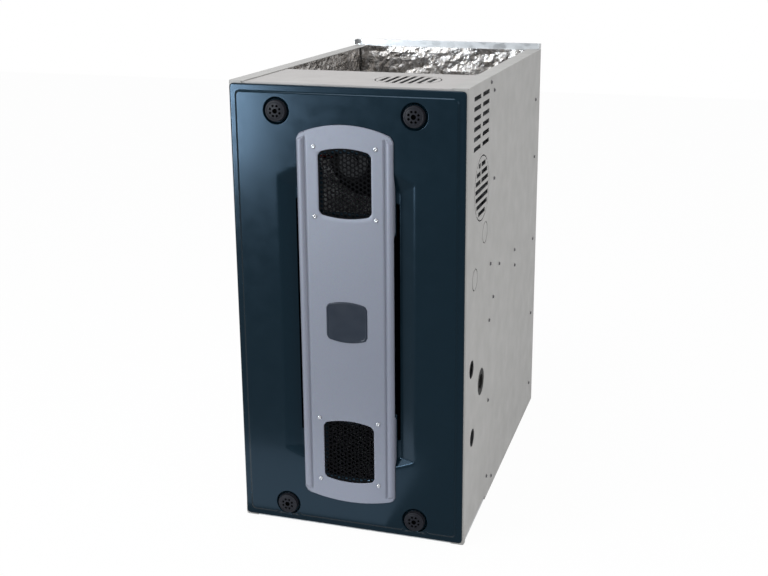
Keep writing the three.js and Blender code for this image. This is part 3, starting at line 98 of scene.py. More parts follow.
class FURNACE_PG_door(bpy.types.PropertyGroup):
    side_reveal: length("Side reveal", "Casing corner that shows beside the door", 2.5)
    rim_width: length("Rim width", "Flat border round the door", 11.0)
    rim_step: length("Rim step", "How far the border lies behind the field", 3.0)
    rim_slope: length("Rim slope", "Width of the slope from border to field", 4.5)
    corner_radius: length("Corner radius", "Rounding of the door's four corners", 7.0)
    edge_radius: length("Edge radius", "Rounding between the face and the hem", 2.4)
    recess_half: length("Recess half width", "Half width of the central recess", 128.5)
    recess_flank: length("Recess flank", "Width of the sloping flanks", 29.0)
    recess_low: length("Recess foot", "Height of the recess's lowest point", 131.6)
    recess_high: length("Recess head", "Height of the recess's highest point", 727.6)
    recess_rise: length("Recess rise", "Rise of the arched head", 36.0)
    recess_sag: length("Recess sag", "Sag of the arched foot", 30.0)
    recess_bevel: length("Recess end bevel", "Width of the slope at head and foot", 18.0)
    recess_toe: length("Recess toe", "Height of the bevel at the recess's foot", 14.0)
    recess_depth: length("Recess depth", "Depth of the recess floor", 9.0)
    inlet_low: length("Inlet foot", "Lower edge of the air inlet", 250.0)
    inlet_high: length("Inlet head", "Upper edge of the air inlet", 595.0)
    # The strip behind each slot is painted shade: a black sheet that keeps the slot dark.
    baffle_depth: length("Shade strip depth", "From the door's back to the strip behind a slot", 7.0)
    baffle_lap: length("Shade strip lap", "How far a strip reaches past its slot", 7.0)
    slot_inner: length("Slot inner edge", "Inner edge of the slots beside the bezel", 91.8)
    slot_outer: length("Slot outer edge", "Outer edge of the slots beside the bezel", 98.6)
    slot_low: length("Slot foot", "Lower end of the slots beside the bezel", 192.0)
    slot_high: length("Slot head", "Upper end of the slots beside the bezel", 678.0)
    dimple_radius: length("Dimple radius", "Outer radius of the knob dimples", 25.2)
    dimple_lip: length("Dimple lip", "Height of the raised ring round a dimple", 0.45)
    dimple_floor: length("Dimple floor radius", "Radius of the dimples' floor", 21.5)
    dimple_depth: length("Dimple depth", "Depth of the knob dimples", 5.0)
    sheet: length("Sheet", "Thickness of the door's sheet", 1.2)
    paint: tint("Door paint", "Gloss navy of the door", (0.0022, 0.0088, 0.0140))
    gloss: tint("Door gloss", "Tint of the door's reflections", (0.48, 0.72, 1.0))


class FURNACE_PG_bezel(bpy.types.PropertyGroup):
    rise: length("Head rise", "Rise of the arched head", 19.4)
    sag: length("Foot sag", "Sag of the arched foot", 14.0)
    corner_radius: length("Corner radius", "Rounding of the outline's corners", 9.0)
    rib_width: length("Rib width", "Width of the two upright ribs", 14.5)
    groove: length("Groove depth", "Depth of the line along a rib's inner side", 1.1)
    rib_height: length("Rib height", "How far the ribs stand out", 3.0)
    rib_inset: length("Rib end inset", "From the outline's end to the rib's end", 8.0)
    window_half: length("Window half width", "Half width of both windows", 50.0)
    window_corner: length("Window corner", "Rounding of the windows' corners", 8.0)
    window_rise: length("Window rise", "Arch at the head of a window", 8.0)
    window_sag: length("Window sag", "Arch at the foot of a window", 7.0)
    upper_low: length("Upper window foot", "Lowest point of the upper window", 623.0)
    upper_high: length("Upper window head", "Highest point of the upper window", 751.0)
    lower_low: length("Lower window foot", "Lowest point of the lower window", 103.5)
    lower_high: length("Lower window head", "Highest point of the lower window", 230.0)
    sheet: length("Sheet", "Thickness of the bezel's sheet", 1.5)
    hole_inset: length("Door hole inset", "From a window's tip to the hole behind it", 9.5)
    hole_side: length("Door hole side", "From a window's side to the hole's behind it", 4.0)
    screw_x: length("Screw offset", "Sideways place of the bezel screws", 58.2)
    screw_inset: length("Screw inset", "Height of the screws from a window's tips", 1.5)
    paint: tint("Bezel finish", "Satin silver of the bezel", (0.150, 0.164, 0.212))


class FURNACE_PG_grille(bpy.types.PropertyGroup):
    pitch: length("Hole pitch", "Distance between the hexagonal holes", 8.6)
    bar: length("Bar width", "Width of metal left between two holes", 2.8)
    thickness: length("Thickness", "Thickness of the grille", 0.8)
    border: length("Border", "Plain edge inside the window", 2.4)
    lap: length("Lap", "From the grille's rim to the reach of its mesh", 4.0)


class FURNACE_PG_fittings(bpy.types.PropertyGroup):
    screw_radius: length("Screw head radius", "Radius of the bezel's pan heads", 4.2)
    casing_screw: length("Casing screw radius", "Radius of the casing's screw heads", 4.2)
    knob_radius: length("Knob radius", "Radius of the door knobs", 19.5)
    knob_bore: length("Knob bore", "Radius of the hole in a knob's middle", 4.6)
    knob_ring: length("Knob hole ring", "Radius of the ring of small holes", 9.6)
    knob_hole: length("Knob hole", "Radius of each small hole", 2.2)
    badge_arch: length("Badge arch", "Rise of the badge plate's head and foot", 7.0)
    badge_corner: length("Badge corner", "Rounding of the badge plate's corners", 6.0)
    blades: IntProperty(name="Blower blades", description="Number of blades in the blower wheel",
                        default=44, min=12, max=64)
    blade_depth: length("Blade depth", "Width of each blower blade", 19.0)
    hub_radius: length("Hub radius", "Radius of the blower wheel's hub", 16.0)
    hub_bore: length("Hub bore", "Radius of the hole for the blower's shaft", 6.8)
    hub_length: length("Hub half length", "Half the length of the blower wheel's hub", 13.0)
    foil_crease: length("Foil crease", "Depth of the creases in the liners' foil", 3.4)
    foil_grid: length("Foil grid", "Spacing of the points that carry the creases", 6.0)
    edge_roll: length("Edge roll", "Rounding of the cut edges of casing sheets", 0.35)
    corner_roll: length("Corner roll", "Bend radius at the casing's front corners", 4.4)
    cell_passes: IntProperty(name="Tube passes", description="Straight runs of each exchanger tube",
                             default=4, min=2, max=6)
    cell_gap: length("Tube gap", "From the front panel to the tubes' front bends", 6.3)
    wire_radius: length("Wire radius", "Radius of one wire of the harness", 1.5)
    cell_sides: IntProperty(name="Tube sides", description="Sides of the exchanger tubes",
                            default=24, min=8, max=48)


class FURNACE_PG_stage(bpy.types.PropertyGroup):
    azimuth: FloatProperty(name="Azimuth", description="Camera bearing round the cabinet",
                           default=math.radians(15.96), subtype="ANGLE", unit="ROTATION")
    elevation: FloatProperty(name="Elevation", description="Camera height angle",
                             default=math.radians(14.68), subtype="ANGLE", unit="ROTATION")
    distance: length("Distance", "Camera distance from its target", 2328.8)
    lens: FloatProperty(name="Lens", description="Focal length in millimetres on a 36 mm sensor",
                        default=51.642, min=10.0, max=300.0)
    world_light: FloatProperty(name="World light", description="Strength of the light all round",
                               default=0.50, min=0.0, max=2.0)
    floor_white: FloatProperty(name="Floor white", description="How far the floor fades into white",
                               default=0.97, min=0.0, max=1.0)


def settings(name):
    return getattr(bpy.context.scene, "furnace_" + name)


# ---- mesh helpers ----
def clamped(value):
    return min(1.0, max(0.0, value))


def smoothstep(value):
    value = clamped(value)
    return value * value * (3.0 - 2.0 * value)


def eased(value, soft):
    """A ramp from 0 to 1 with both its corners rounded over that span."""
    if value < soft:
        return max(0.0, value + soft) ** 2 / (4.0 * soft)
    if value > 1.0 - soft:
        return 1.0 - max(0.0, 1.0 + soft - value) ** 2 / (4.0 * soft)
    return value


def hump(away, half):
    """A smooth bump: 1 in the middle, 0 from half away on."""
    return max(0.0, 1.0 - (away / half) ** 2) ** 2


def lines(start, *marks):
    """Rising positions from a start through (end, largest step in millimetres) pairs."""
    places = [start]
    for end, step in marks:
        start = places[-1]
        count = max(1, math.ceil((end - start) / (step * MM) - 1e-6))
        places.extend(start + (end - start) * (i + 1) / count for i in range(count))
    return places


def mirrored(places):
    """A symmetric row of positions from its half that runs outward from the middle."""
    return [-p for p in reversed(places) if p > 1e-9] + list(places)


def arch_drop(x, half, rise):
    """How far an arc of that rise over that half width lies below its highest point at x."""
    radius = (half * half + rise * rise) / (2.0 * rise)
    reach = min(abs(x), half)
    return radius - math.sqrt(radius * radius - reach * reach)


def rounded(u, v):
    """Maps a point of a square corner onto a round one: u and v run from the arc's centre."""
    if u <= 0.0 or v <= 0.0:
        return u, v
    scale = max(u, v) / math.hypot(u, v)
    return u * scale, v * scale


def new_object(name, mesh):
    made = bpy.data.objects.new(name, mesh)
    bpy.context.scene.collection.objects.link(made)
    return made


def edited(mesh, change):
    """Runs a change on a mesh as a bmesh."""
    bm = bmesh.new()
    bm.from_mesh(mesh)
    change(bm)
    bm.to_mesh(mesh)
    bm.free()


def face_outwards(mesh):
    edited(mesh, lambda bm: bmesh.ops.recalc_face_normals(bm, faces=bm.faces[:]))


def smooth_by_angle(mesh, degrees):
    """Shades a mesh smooth, parted at the edges over that angle."""
    def part(bm):
        for face in bm.faces:
            face.smooth = True
        for edge in bm.edges:
            turn = edge.calc_face_angle(0.0) if len(edge.link_faces) == 2 else math.pi
            edge.smooth = turn < math.radians(degrees)
    edited(mesh, part)


def on_ring(radius, sides):
    """Points of a circle round the origin as (cosine, sine) pairs times the radius."""
    turns = [2.0 * math.pi * k / sides for k in range(sides)]
    return [(radius * math.cos(turn), radius * math.sin(turn)) for turn in turns]


class Shell:
    """A piece in the making: its points, and the faces that join rows and rings of them."""

    def __init__(self):
        self.verts, self.faces, self.index = [], [], {}

    def row(self, points):
        """Adds points and gives back their numbers."""
        first = len(self.verts)
        self.verts.extend(tuple(point) for point in points)
        return list(range(first, len(self.verts)))

    def keyed(self, key, point):
        """The number of the point with that key, which is made when it is first asked for."""
        if key not in self.index:
            self.index[key] = self.row([point()])[0]
        return self.index[key]

    def band(self, near, far, closed=True, turned=False):
        """Joins two rows of as many points with quads; turned makes them face the other way."""
        for k in range(len(near) if closed else len(near) - 1):
            after = (k + 1) % len(near)
            quad = (near[k], near[after], far[after], far[k])
            self.faces.append((quad[1], quad[0], quad[3], quad[2]) if turned else quad)

    def bands(self, rows, closed=True, wrap=False):
        """Adds rows of points and joins each to the next, and the last to the first with wrap."""
        rings = [self.row(points) for points in rows]
        for near, far in zip(rings, rings[1:] + rings[:wrap]):
            self.band(near, far, closed)
        return rings

    def grow(self, loop, rings, turned=False):
        """Adds rings of points that lead away from a loop that is there already."""
        for points in rings:
            ring = self.row(points)
            self.band(loop, ring, turned=turned)
            loop = ring
        return loop

    def grid(self, columns, rows, corner, open_at):
        """Fills the cells between columns and rows with quads, except the open ones."""
        for i in range(len(columns) - 1):
            for j in range(len(rows) - 1):
                if not open_at(i, j):
                    self.faces.append((corner(i, j), corner(i + 1, j), corner(i + 1, j + 1),
                                       corner(i, j + 1)))

    def mesh(self, name):
        mesh = bpy.data.meshes.new(name)
        mesh.from_pydata(self.verts, [], self.faces)
        return mesh

    def piece(self, name, slot, smooth=True):
        """The finished piece, shaded smooth, flat, or smooth under an angle in degrees."""
        mesh = self.mesh(name)
        mesh.materials.append(FINISHES[slot].material)
        for polygon in mesh.polygons:
            polygon.use_smooth = bool(smooth)
        mesh.update()
        if smooth and smooth is not True:
            smooth_by_angle(mesh, smooth)
        return new_object(name, mesh)


def piece_from(name, bm, slot, smooth_angle):
    """A finished piece from a bmesh, smooth under an angle in degrees."""
    mesh = bpy.data.meshes.new(name)
    bm.to_mesh(mesh)
    bm.free()
    mesh.materials.append(FINISHES[slot].material)
    smooth_by_angle(mesh, smooth_angle)
    return new_object(name, mesh)


def bake_modifiers(made):
    """Turns a piece with modifiers into a plain mesh and removes the modifiers."""
    graph = bpy.context.evaluated_depsgraph_get()
    baked = bpy.data.meshes.new_from_object(made.evaluated_get(graph), depsgraph=graph)
    made.modifiers.clear()
    old, made.data = made.data, baked
    bpy.data.meshes.remove(old)
    return made


def thicken(made, thickness, offset=-1.0):
    """Gives a single surface the thickness of its sheet."""
    wall = made.modifiers.new("Sheet", "SOLIDIFY")
    wall.thickness, wall.offset = thickness, offset
    return bake_modifiers(made)


def add_box(bm, low, high):
    centre = [(a + b) / 2.0 for a, b in zip(low, high)]
    size = [b - a for a, b in zip(low, high)]
    place = Matrix.Translation(centre) @ Matrix.Diagonal((*size, 1.0))
    return bmesh.ops.create_cube(bm, size=1.0, matrix=place)["verts"]


def add_rod(bm, start, end, radius, sides=20, radius_end=None):
    start, end = Vector(start), Vector(end)
    run = end - start
    turn = run.to_track_quat("Z", "Y").to_matrix().to_4x4()
    place = Matrix.Translation((start + end) / 2.0) @ turn
    far = radius if radius_end is None else radius_end
    return bmesh.ops.create_cone(bm, cap_ends=True, cap_tris=False, segments=sides, radius1=radius,
                                 radius2=far, depth=run.length, matrix=place)["verts"]


def cad_copy(node):
    """A copy of a CAD node's mesh, merged and with its flat faces joined, as a bmesh."""
    bm = bmesh.new()
    bm.from_mesh(frame["nodes"][node].data)
    bmesh.ops.remove_doubles(bm, verts=bm.verts, dist=0.01 * MM)
    bmesh.ops.dissolve_limit(bm, angle_limit=math.radians(0.4), verts=bm.verts[:], edges=bm.edges[:])
    return bm


def settle(made, body, slot, *nodes):
    """Ties a finished piece to its body and hides the CAD nodes it stands for; its slot is not used."""
    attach(made, body)
    if nodes:
        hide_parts(*nodes)
    return made


# ---- node helpers ----
def add_node(tree, kind, options=None, **inputs):
    """A new node; an input takes a value, another node's output, or a node for its first one."""
    made = tree.nodes.new(kind)
    for key, value in (options or {}).items():
        setattr(made, key, value)
    for key, value in inputs.items():
        socket = made.inputs[int(key[1:])] if key[0] == "_" else made.inputs[key.replace("_", " ")]
        value = value.outputs[0] if isinstance(value, bpy.types.Node) else value
        if isinstance(value, bpy.types.NodeSocket):
            tree.links.new(value, socket)
        else:
            socket.default_value = value
    return made


FINISHES = {}


class Finish:
    """A painted, plated or moulded surface: one shader with node-made colour, sheen and relief."""

    def __init__(self, name, colour, roughness, metallic=0.0, **constants):
        self.material = bpy.data.materials.new(name)
        self.material.use_nodes = True
        self.material.diffuse_color = (*colour, 1.0)
        self.tree = self.material.node_tree
        self.shader = self.tree.nodes["Principled BSDF"]
        self.colour = colour
        constants.update(Base_Color=(*colour, 1.0), Roughness=roughness, Metallic=metallic)
        for key, value in constants.items():
            self.shader.inputs[key.replace("_", " ")].default_value = value
        self.place = self.node("TexCoord").outputs["Object"]
        self.relief = {}
        FINISHES[name] = self

    def node(self, kind, options=None, **inputs):
        return add_node(self.tree, "ShaderNode" + kind, options, **inputs)

    def drive(self, name, value):
        """Links a node, or one of its outputs, to an input of the shader."""
        value = value.outputs[0] if isinstance(value, bpy.types.Node) else value
        self.tree.links.new(value, self.shader.inputs[name])
        return self

    def noise(self, scale, detail=3.0, rough=0.55, place=None):
        return self.node("TexNoise", Vector=place or self.place, Scale=scale, Detail=detail,
                         Roughness=rough)

    def cells(self, scale, output="Color", feature="F1"):
        return self.node("TexVoronoi", {"feature": feature}, Vector=self.place, Scale=scale,
                         Randomness=1.0).outputs[output]

    def ramp(self, value, low, high, start=0.0, end=1.0):
        """Maps a span of one value onto another span."""
        return self.node("MapRange", Value=value, From_Min=low, From_Max=high, To_Min=start,
                         To_Max=end)

    def blend(self, factor, low, high):
        """Mixes two colours, each a tuple or another node's output."""
        low, high = ((*colour, 1.0) if isinstance(colour, tuple) else colour for colour in (low, high))
        return self.node("Mix", {"data_type": "RGBA"}, _0=factor, _6=low, _7=high).outputs[2]

    def paint(self, colour):
        return self.drive("Base Color", colour)

    def mottle(self, scale, amount, detail):
        """Varies the base colour gently, darker and lighter by that share."""
        low, high = (tuple(min(1.0, c * share) for c in self.colour)
                     for share in (1.0 - amount, 1.0 + amount))
        return self.paint(self.blend(self.noise(scale, detail), low, high))

    def sheen(self, value, low, high):
        """Varies the roughness between two values."""
        return self.drive("Roughness", self.ramp(value, 0.3, 0.7, low, high))

    def bump(self, height, strength, distance):
        made = self.node("Bump", Strength=strength, Distance=distance, Height=height, **self.relief)
        self.relief = {"Normal": made}
        return self.drive("Normal", made)


def finish_door_paint():
    s = settings("door")
    made = Finish("navy_gloss", tuple(s.paint), 0.20, Specular_IOR_Level=0.16,
                  Specular_Tint=(*s.gloss, 1.0))
    made.mottle(3.0, 0.10, 2.0).sheen(made.noise(38.0), 0.17, 0.23)
    return made.bump(made.noise(180.0, 2.0), 0.04, 0.0004)


def finish_bezel():
    paint = tuple(settings("bezel").paint)
    made = Finish("bezel_satin", paint, 0.44, 0.12, Specular_IOR_Level=0.3)
    flaked = made.blend(0.10, paint, made.cells(2600.0))
    made.paint(made.blend(made.noise(2.2, 2.0), flaked, paint))
    made.sheen(made.noise(140.0), 0.40, 0.48)
    return made.bump(made.noise(900.0, 2.0), 0.06, 0.0002)


def powder_paint(name, colour):
    """Thin sprayed paint over sheet steel: fine orange peel, faint handling marks."""
    made = Finish(name, colour, 0.5)
    made.mottle(1.7, 0.05, 3.0).sheen(made.noise(22.0, 5.0), 0.43, 0.58)
    return made.bump(made.noise(620.0, 2.0), 0.10, 0.0003)


def zinc_sheet(name, colour, roughness=0.38, grain=70.0):
    """Galvanised sheet: angular spangle that changes tone and gloss from crystal to crystal."""
    made = Finish(name, colour, roughness, 0.85)
    tone = made.node("SeparateColor", Color=made.cells(grain)).outputs["Red"]
    dull, bright = (tuple(min(1.0, c * share) for c in colour) for share in (0.87, 1.06))
    made.paint(made.blend(made.ramp(tone, 0.0, 1.0), dull, bright))
    made.drive("Roughness", made.ramp(tone, 0.0, 1.0, roughness - 0.08, roughness + 0.12))
    return made.bump(made.noise(90.0, 4.0), 0.08, 0.0004)


def finish_foil():
    made = Finish("foil_liner", (0.74, 0.745, 0.75), 0.22, 1.0)
    crease = made.cells(34.0, "Distance", "DISTANCE_TO_EDGE")
    fine = made.noise(85.0, 6.0, 0.65)
    # Painted reflection: the foil's colour runs in patches from brown to pale, standing in for the
    # brown and white reflections in the crinkled foil.
    made.paint(made.blend(made.ramp(fine, 0.35, 0.7), (0.34, 0.31, 0.28), (0.60, 0.60, 0.61)))
    made.sheen(made.noise(30.0, 4.0), 0.14, 0.34)
    return made.bump(crease, 0.55, 0.004).bump(fine, 0.55, 0.003)


def finish_tube_steel():
    """Aluminised steel, drawn lengthwise and tanned by heat towards its foot."""
    steel = (0.46, 0.455, 0.45)
    made = Finish("aluminised", steel, 0.42, 0.8)
    along = made.node("Mapping", Vector=made.place, Scale=(1.0, 0.18, 1.0))
    drawn = made.noise(26.0, 5.0, 0.6, along)
    heat = made.ramp(made.node("SeparateXYZ", Vector=made.place).outputs["Z"], 0.70, 0.52)
    straw = made.blend(heat, steel, (0.38, 0.30, 0.22))
    made.paint(made.blend(made.ramp(drawn, 0.3, 0.75), straw, (0.55, 0.55, 0.55)))
    made.sheen(drawn, 0.34, 0.54)
    return made.bump(made.noise(210.0), 0.12, 0.0003)


def moulded(name, colour, roughness=0.42, grain=700.0, strength=0.12, specular=0.5):
    """Moulded plastic or rubber with a fine spark-eroded texture."""
    made = Finish(name, colour, roughness, Specular_IOR_Level=specular)
    made.mottle(14.0, 0.10, 3.0).sheen(made.noise(60.0), roughness - 0.06, roughness + 0.08)
    return made.bump(made.noise(grain), strength, 0.0003)


def cast_metal(name, colour, roughness=0.52):
    """Die-cast alloy: grainy skin with soft stains."""
    made = Finish(name, colour, roughness, 0.75)
    made.mottle(20.0, 0.16, 5.0).sheen(made.noise(75.0, 4.0), roughness - 0.1, roughness + 0.12)
    return made.bump(made.noise(420.0, 5.0), 0.30, 0.0006)


def enamel(name, colour, roughness=0.34):
    """Dipped enamel over a steel shell, with a little dust on top."""
    made = Finish(name, colour, roughness, 0.1, Specular_IOR_Level=0.16)
    dusty = tuple(min(1.0, c * 1.5 + 0.004) for c in colour)
    made.paint(made.blend(made.ramp(made.noise(30.0, 6.0), 0.45, 0.8), colour, dusty))
    made.sheen(made.noise(55.0, 4.0), roughness - 0.08, roughness + 0.14)
    return made.bump(made.noise(340.0, 2.0), 0.10, 0.0004)


def finish_board():
    """Solder mask with copper tracks that shine through."""
    mask_green, track_green = (0.020, 0.12, 0.045), (0.045, 0.20, 0.070)
    made = Finish("circuit_board", mask_green, 0.32, Coat_Weight=0.4, Coat_Roughness=0.12)
    tracks = made.node("TexBrick", Vector=made.place, Scale=95.0, Mortar_Size=0.06)
    mask = made.ramp(tracks.outputs["Fac"], 0.0, 1.0)
    made.paint(made.blend(mask, mask_green, track_green))
    return made.bump(mask, 0.15, 0.0003)


def make_finishes():
    for finish in (finish_door_paint, finish_bezel, finish_foil, finish_tube_steel, finish_board):
        finish()
    powder_paint("grey_paint", (0.318, 0.313, 0.304))
    powder_paint("pale_paint", (0.325, 0.312, 0.305))
    moulded("black_mesh", (0.0022, 0.0023, 0.003), 0.46, 300.0, 0.08, 0.02)
    moulded("slate_plate", (0.014, 0.021, 0.034), 0.34, 500.0, 0.06, 0.14)
    moulded("black_plastic", (0.0150, 0.0160, 0.0205), 0.36, 700.0, 0.12, 0.05)
    # Near-black painted shade for the deep holes of the knobs and the strips behind the door's slots.
    moulded("dark_cut", (0.0012, 0.0012, 0.0014), 0.8, 300.0, 0.12, 0.01)
    moulded("rubber", (0.010, 0.010, 0.010), 0.75, 380.0, 0.25, 0.25)
    moulded("ceramic", (0.72, 0.69, 0.63), 0.65, 240.0, 0.2)
    moulded("silicone_hose", (0.23, 0.24, 0.25), 0.5, 300.0)
    moulded("red_wire", (0.36, 0.022, 0.014), 0.42, 420.0)
    zinc_sheet("galvanised", (0.42, 0.432, 0.445))
    zinc_sheet("zinc_screw", (0.34, 0.35, 0.37), 0.20, 400.0)
    cast_metal("dark_steel", (0.075, 0.078, 0.082), 0.45)
    cast_metal("cast_alloy", (0.40, 0.405, 0.41))
    cast_metal("casing_screw", (0.13, 0.13, 0.135), 0.5)
    cast_metal("brass", (0.55, 0.38, 0.14), 0.34)
    enamel("motor_shell", (0.010, 0.010, 0.012))


# ---- geometry-node helpers ----
class GeometryTree:
    """A geometry-node tree with named inputs that ends in Realize Instances and Set Material."""

    def __init__(self, name, **inputs):
        self.tree = bpy.data.node_groups.new(name, "GeometryNodeTree")
        face = self.tree.interface
        face.new_socket("Geometry", in_out="INPUT", socket_type="NodeSocketGeometry")
        for label, (kind, default) in inputs.items():
            socket = face.new_socket(label.replace("_", " "), in_out="INPUT",
                                     socket_type="NodeSocket" + kind)
            if default is not None:
                socket.default_value = default
        face.new_socket("Material", in_out="INPUT", socket_type="NodeSocketMaterial")
        face.new_socket("Geometry", in_out="OUTPUT", socket_type="NodeSocketGeometry")
        self.start = self.tree.nodes.new("NodeGroupInput")
        self.end = self.tree.nodes.new("NodeGroupOutput")

    def given(self, label):
        return self.start.outputs[label]

    def add(self, kind, options=None, **inputs):
        return add_node(self.tree, kind, options, **inputs)

    def math(self, operation, first, second=0.0, third=0.0):
        return self.add("ShaderNodeMath", {"operation": operation}, _0=first, _1=second, _2=third)

    def vector(self, x=0.0, y=0.0, z=0.0):
        return self.add("ShaderNodeCombineXYZ", X=x, Y=y, Z=z)

    def close(self, geometry, shade_smooth=True):
        realized = self.add("GeometryNodeRealizeInstances", Geometry=geometry)
        shaded = self.add("GeometryNodeSetShadeSmooth", Geometry=realized,
                          Shade_Smooth=shade_smooth)
        dressed = self.add("GeometryNodeSetMaterial", Geometry=shaded,
                           Material=self.given("Material"))
        self.tree.links.new(dressed.outputs["Geometry"], self.end.inputs["Geometry"])
        return self


def grow(name, start_mesh, tree, slot, **values):
    """Runs a geometry-node tree on a new object and keeps only the finished mesh."""
    made = new_object(name, start_mesh)
    modifier = made.modifiers.new(name, "NODES")
    modifier.node_group = tree.tree
    values["Material"] = FINISHES[slot].material
    for item in tree.tree.interface.items_tree:
        key = item.name.replace(" ", "_")
        if item.item_type == "SOCKET" and item.in_out == "INPUT" and key in values:
            modifier[item.identifier] = values[key]
    return bake_modifiers(made)


def path_mesh(name, path, joined=True):
    """The points of a path as a mesh, joined by edges or loose."""
    mesh = bpy.data.meshes.new(name)
    edges = [(k, k + 1) for k in range(len(path) - 1)] if joined else []
    mesh.from_pydata([tuple(point) for point in path], edges, [])
    return mesh


def honeycomb_tree():
    """Hexagonal holes in staggered columns over a window that stands in the XZ plane."""
    t = GeometryTree("Honeycomb", Pitch=("Float", 0.0086), Bar=("Float", 0.0023),
                     Thickness=("Float", 0.0008), Half_Width=("Float", 0.05),
                     Half_Height=("Float", 0.05), Centre=("Vector", (0.0, 0.0, 0.0)))
    pitch, half_bar = t.given("Pitch"), t.math("MULTIPLY", t.given("Bar"), 0.5)
    column = t.math("MULTIPLY", pitch, math.sqrt(3.0) / 2.0)
    across = t.math("CEIL", t.math("DIVIDE", t.given("Half Width"), column))
    up = t.math("CEIL", t.math("DIVIDE", t.given("Half Height"), pitch))
    grid = t.add("GeometryNodeMeshGrid",
                 Size_X=t.math("MULTIPLY", t.math("MULTIPLY", across, column), 2.0),
                 Size_Y=t.math("MULTIPLY", t.math("MULTIPLY", up, pitch), 2.0),
                 Vertices_X=t.math("MULTIPLY_ADD", across, 2.0, 1.0),
                 Vertices_Y=t.math("MULTIPLY_ADD", up, 2.0, 1.0))
    place = t.add("ShaderNodeSeparateXYZ", Vector=t.add("GeometryNodeInputPosition"))
    odd = t.math("FLOORED_MODULO", t.math("ROUND", t.math("DIVIDE", place, column)), 2.0)
    shifted = t.add("GeometryNodeSetPosition", Geometry=grid,
                    Offset=t.vector(y=t.math("MULTIPLY", odd, t.math("MULTIPLY", pitch, 0.5))))
    reach = t.math("DIVIDE", t.math("SUBTRACT", pitch, half_bar), math.sqrt(3.0))
    loop = t.add("GeometryNodeCurvePrimitiveCircle", Resolution=6, Radius=reach)
    bar = t.add("GeometryNodeCurvePrimitiveQuadrilateral", Width=half_bar,
                Height=t.given("Thickness"))
    ring = t.add("GeometryNodeCurveToMesh", Curve=loop, Profile_Curve=bar)
    cells = t.add("GeometryNodeInstanceOnPoints", Points=shifted, Instance=ring)
    return t.close(t.add("GeometryNodeTransform", Geometry=cells,
                         Rotation=(math.radians(90.0), 0.0, 0.0), Translation=t.given("Centre")),
                   False)


def fastener_tree():
    """One head on every given point, turned to face along a direction."""
    t = GeometryTree("Fasteners", Head=("Object", None), Facing=("Vector", (0.0, -1.0, 0.0)))
    turn = t.add("FunctionNodeAlignRotationToVector", {"axis": "Z"}, Vector=t.given("Facing"))
    head = t.add("GeometryNodeObjectInfo", Object=t.given("Head")).outputs["Geometry"]
    return t.close(t.add("GeometryNodeInstanceOnPoints", Points=t.given("Geometry"), Instance=head,
                         Rotation=turn))


def sweep_tree():
    """A round tube along every given path, repeated side by side."""
    t = GeometryTree("Swept Tubes", Radius=("Float", 0.01), Sides=("Int", 20), Copies=("Int", 1),
                     Spacing=("Vector", (0.0, 0.0, 0.0)), Caps=("Bool", True))
    route = t.add("GeometryNodeMeshToCurve", Mesh=t.given("Geometry"))
    hoop = t.add("GeometryNodeCurvePrimitiveCircle", Resolution=t.given("Sides"),
                 Radius=t.given("Radius"))
    tube = t.add("GeometryNodeCurveToMesh", Curve=route, Profile_Curve=hoop,
                 Fill_Caps=t.given("Caps"))
    row = t.add("GeometryNodeMeshLine", Count=t.given("Copies"), Offset=t.given("Spacing"))
    return t.close(t.add("GeometryNodeInstanceOnPoints", Points=row, Instance=tube))


def wheel_tree():
    """Blades set round an axis along X through a given centre."""
    t = GeometryTree("Blade Ring", Blade=("Object", None), Blades=("Int", 40),
                     Centre=("Vector", (0.0, 0.0, 0.0)))
    row = t.add("GeometryNodeMeshLine", Count=t.given("Blades"), Offset=(0.0, 0.0, 0.0))
    step = t.math("DIVIDE", 2.0 * math.pi, t.given("Blades"))
    angle = t.math("MULTIPLY", t.add("GeometryNodeInputIndex"), step)
    blade = t.add("GeometryNodeObjectInfo", Object=t.given("Blade")).outputs["Geometry"]
    ring = t.add("GeometryNodeInstanceOnPoints", Points=row, Instance=blade,
                 Rotation=t.vector(x=angle))
    joined = t.add("GeometryNodeJoinGeometry", Geometry=ring)
    t.tree.links.new(t.given("Geometry"), joined.inputs["Geometry"])
    return t.close(t.add("GeometryNodeTransform", Geometry=joined, Translation=t.given("Centre")))


# ---- the outer door ----
def knob_centres():
    centres = []
    for corner in ("upper_left", "upper_right", "lower_left", "lower_right"):
        low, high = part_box("knob_" + corner)
        centres.append(((low.x + high.x) / 2.0, (low.z + high.z) / 2.0, corner))
    return centres


